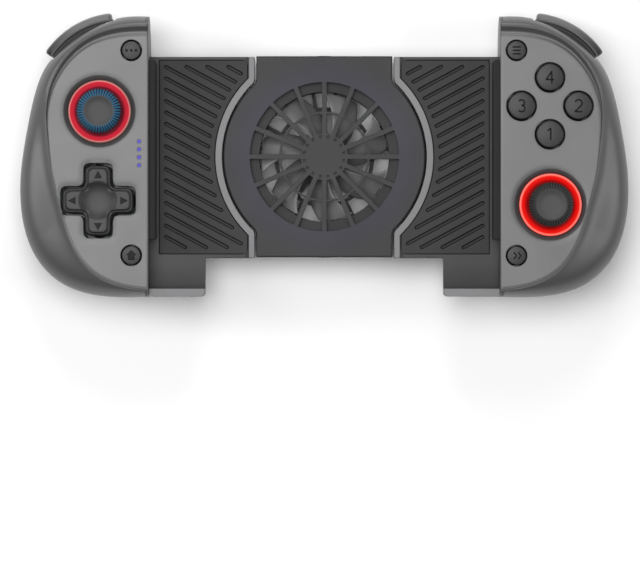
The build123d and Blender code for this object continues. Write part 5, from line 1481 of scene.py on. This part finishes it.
class SetStage(bpy.types.Operator):
    """Pale floor, soft studio light and the camera"""
    bl_idname = "phone_grip.stage"
    bl_label = "Stage"

    def execute(self, context):
        sizes = context.scene.grip_stage
        scene = context.scene
        scene.view_settings.view_transform = "Standard"
        self.floor(scene)
        self.sky(scene, sizes.sky)
        for name, place, size, share in SOFTBOXES:
            light = bpy.data.lights.new(name, "AREA")
            light.shape, light.size, light.energy = "DISK", size, sizes.softbox_power * share
            lamp = bpy.data.objects.new(name, light)
            scene.collection.objects.link(lamp)
            lamp.location = place
            lamp.rotation_euler = (-Vector(place)).to_track_quat("-Z", "Y").to_euler()
        lens = bpy.data.cameras.new("camera")
        lens.sensor_width, lens.lens = 36.0, sizes.focal_length
        lens.clip_start, lens.clip_end = 0.1, 50.0
        camera = bpy.data.objects.new("camera", lens)
        scene.collection.objects.link(camera)
        camera.location = (*CAMERA_PLACE, FACE * MM + sizes.camera_distance)
        scene.camera = camera
        return {"FINISHED"}

    def floor(self, scene):
        """A round floor just below the part, in a pale paint with a faint cloud in it."""
        ring = np.linspace(0, 2 * np.pi, 64, endpoint=False)
        reach = np.array((0.0, 0.3, 1.0, 3.0, 8.0))[:, None] / MM
        sheet = Shape()
        sheet.grid(reach * np.cos(ring), reach * np.sin(ring), -FLOOR_GAP, wrap=True)
        ground = bpy.data.objects.new("floor", sheet.mesh("floor"))
        scene.collection.objects.link(ground)
        material, tree, shader = fresh("Pale floor")
        place = node(tree, "ShaderNodeTexCoord")
        cloud = node(tree, "ShaderNodeTexNoise", {"Vector": place.outputs["Object"], "Scale": 3.0})
        tone = mixed(tree, cloud.outputs[0], (0.93, 0.93, 0.93, 1), (0.95, 0.95, 0.95, 1))
        tree.links.new(tone, shader.inputs["Base Color"])
        shader.inputs["Roughness"].default_value = 0.9
        shader.inputs["Specular IOR Level"].default_value = 0.1
        ground.data.materials.append(material)

    def sky(self, scene, strength):
        """White behind the part, and as light from all round as strong as the setting."""
        world = scene.world or bpy.data.worlds.new("Studio")
        scene.world = world
        world.use_nodes = True
        tree = world.node_tree
        back = tree.nodes["Background"]
        back.inputs["Color"].default_value = (1, 1, 1, 1)
        path = node(tree, "ShaderNodeLightPath")
        level = node(tree, "ShaderNodeMapRange", {
            "Value": path.outputs["Is Camera Ray"], "To Min": strength, "To Max": 1.0,
        })
        tree.links.new(level.outputs[0], back.inputs["Strength"])


class GripPanel(bpy.types.Panel):
    """Lists the steps in order"""
    bl_idname = "VIEW3D_PT_phone_grip"
    bl_label = "Phone grip"
    bl_space_type = "VIEW_3D"
    bl_region_type = "UI"
    bl_category = "Phone grip"

    def draw(self, context):
        for step in STEPS:
            self.layout.operator(step.bl_idname)


SETTINGS = {
    "grip_shell": GripShellSettings, "grip_pad": PadSettings, "grip_stick": StickSettings,
    "grip_buttons": ButtonSettings, "grip_fan": FanSettings, "grip_finish": FinishSettings,
    "grip_stage": StageSettings,
}
STEPS = (
    FinishSolids, MakeGripShells, MakePads, MakeSticks, MakeButtons, MakeShoulderButtons, MakeFan, SetStage,
)


def register():
    for kind in SETTINGS.values():
        bpy.utils.register_class(kind)
    for kind in (*STEPS, GripPanel):
        bpy.utils.register_class(kind)
    for name, kind in SETTINGS.items():
        setattr(bpy.types.Scene, name, PointerProperty(type=kind))


def unregister():
    for name in SETTINGS:
        delattr(bpy.types.Scene, name)
    for kind in (*reversed(STEPS), GripPanel):
        bpy.utils.unregister_class(kind)
    for kind in reversed(list(SETTINGS.values())):
        bpy.utils.unregister_class(kind)


def main():
    register()
    MATERIALS.update(make_materials())
    for step in STEPS:
        area, name = step.bl_idname.split(".")
        getattr(getattr(bpy.ops, area), name)()


if __name__ == "__main__":
    main()
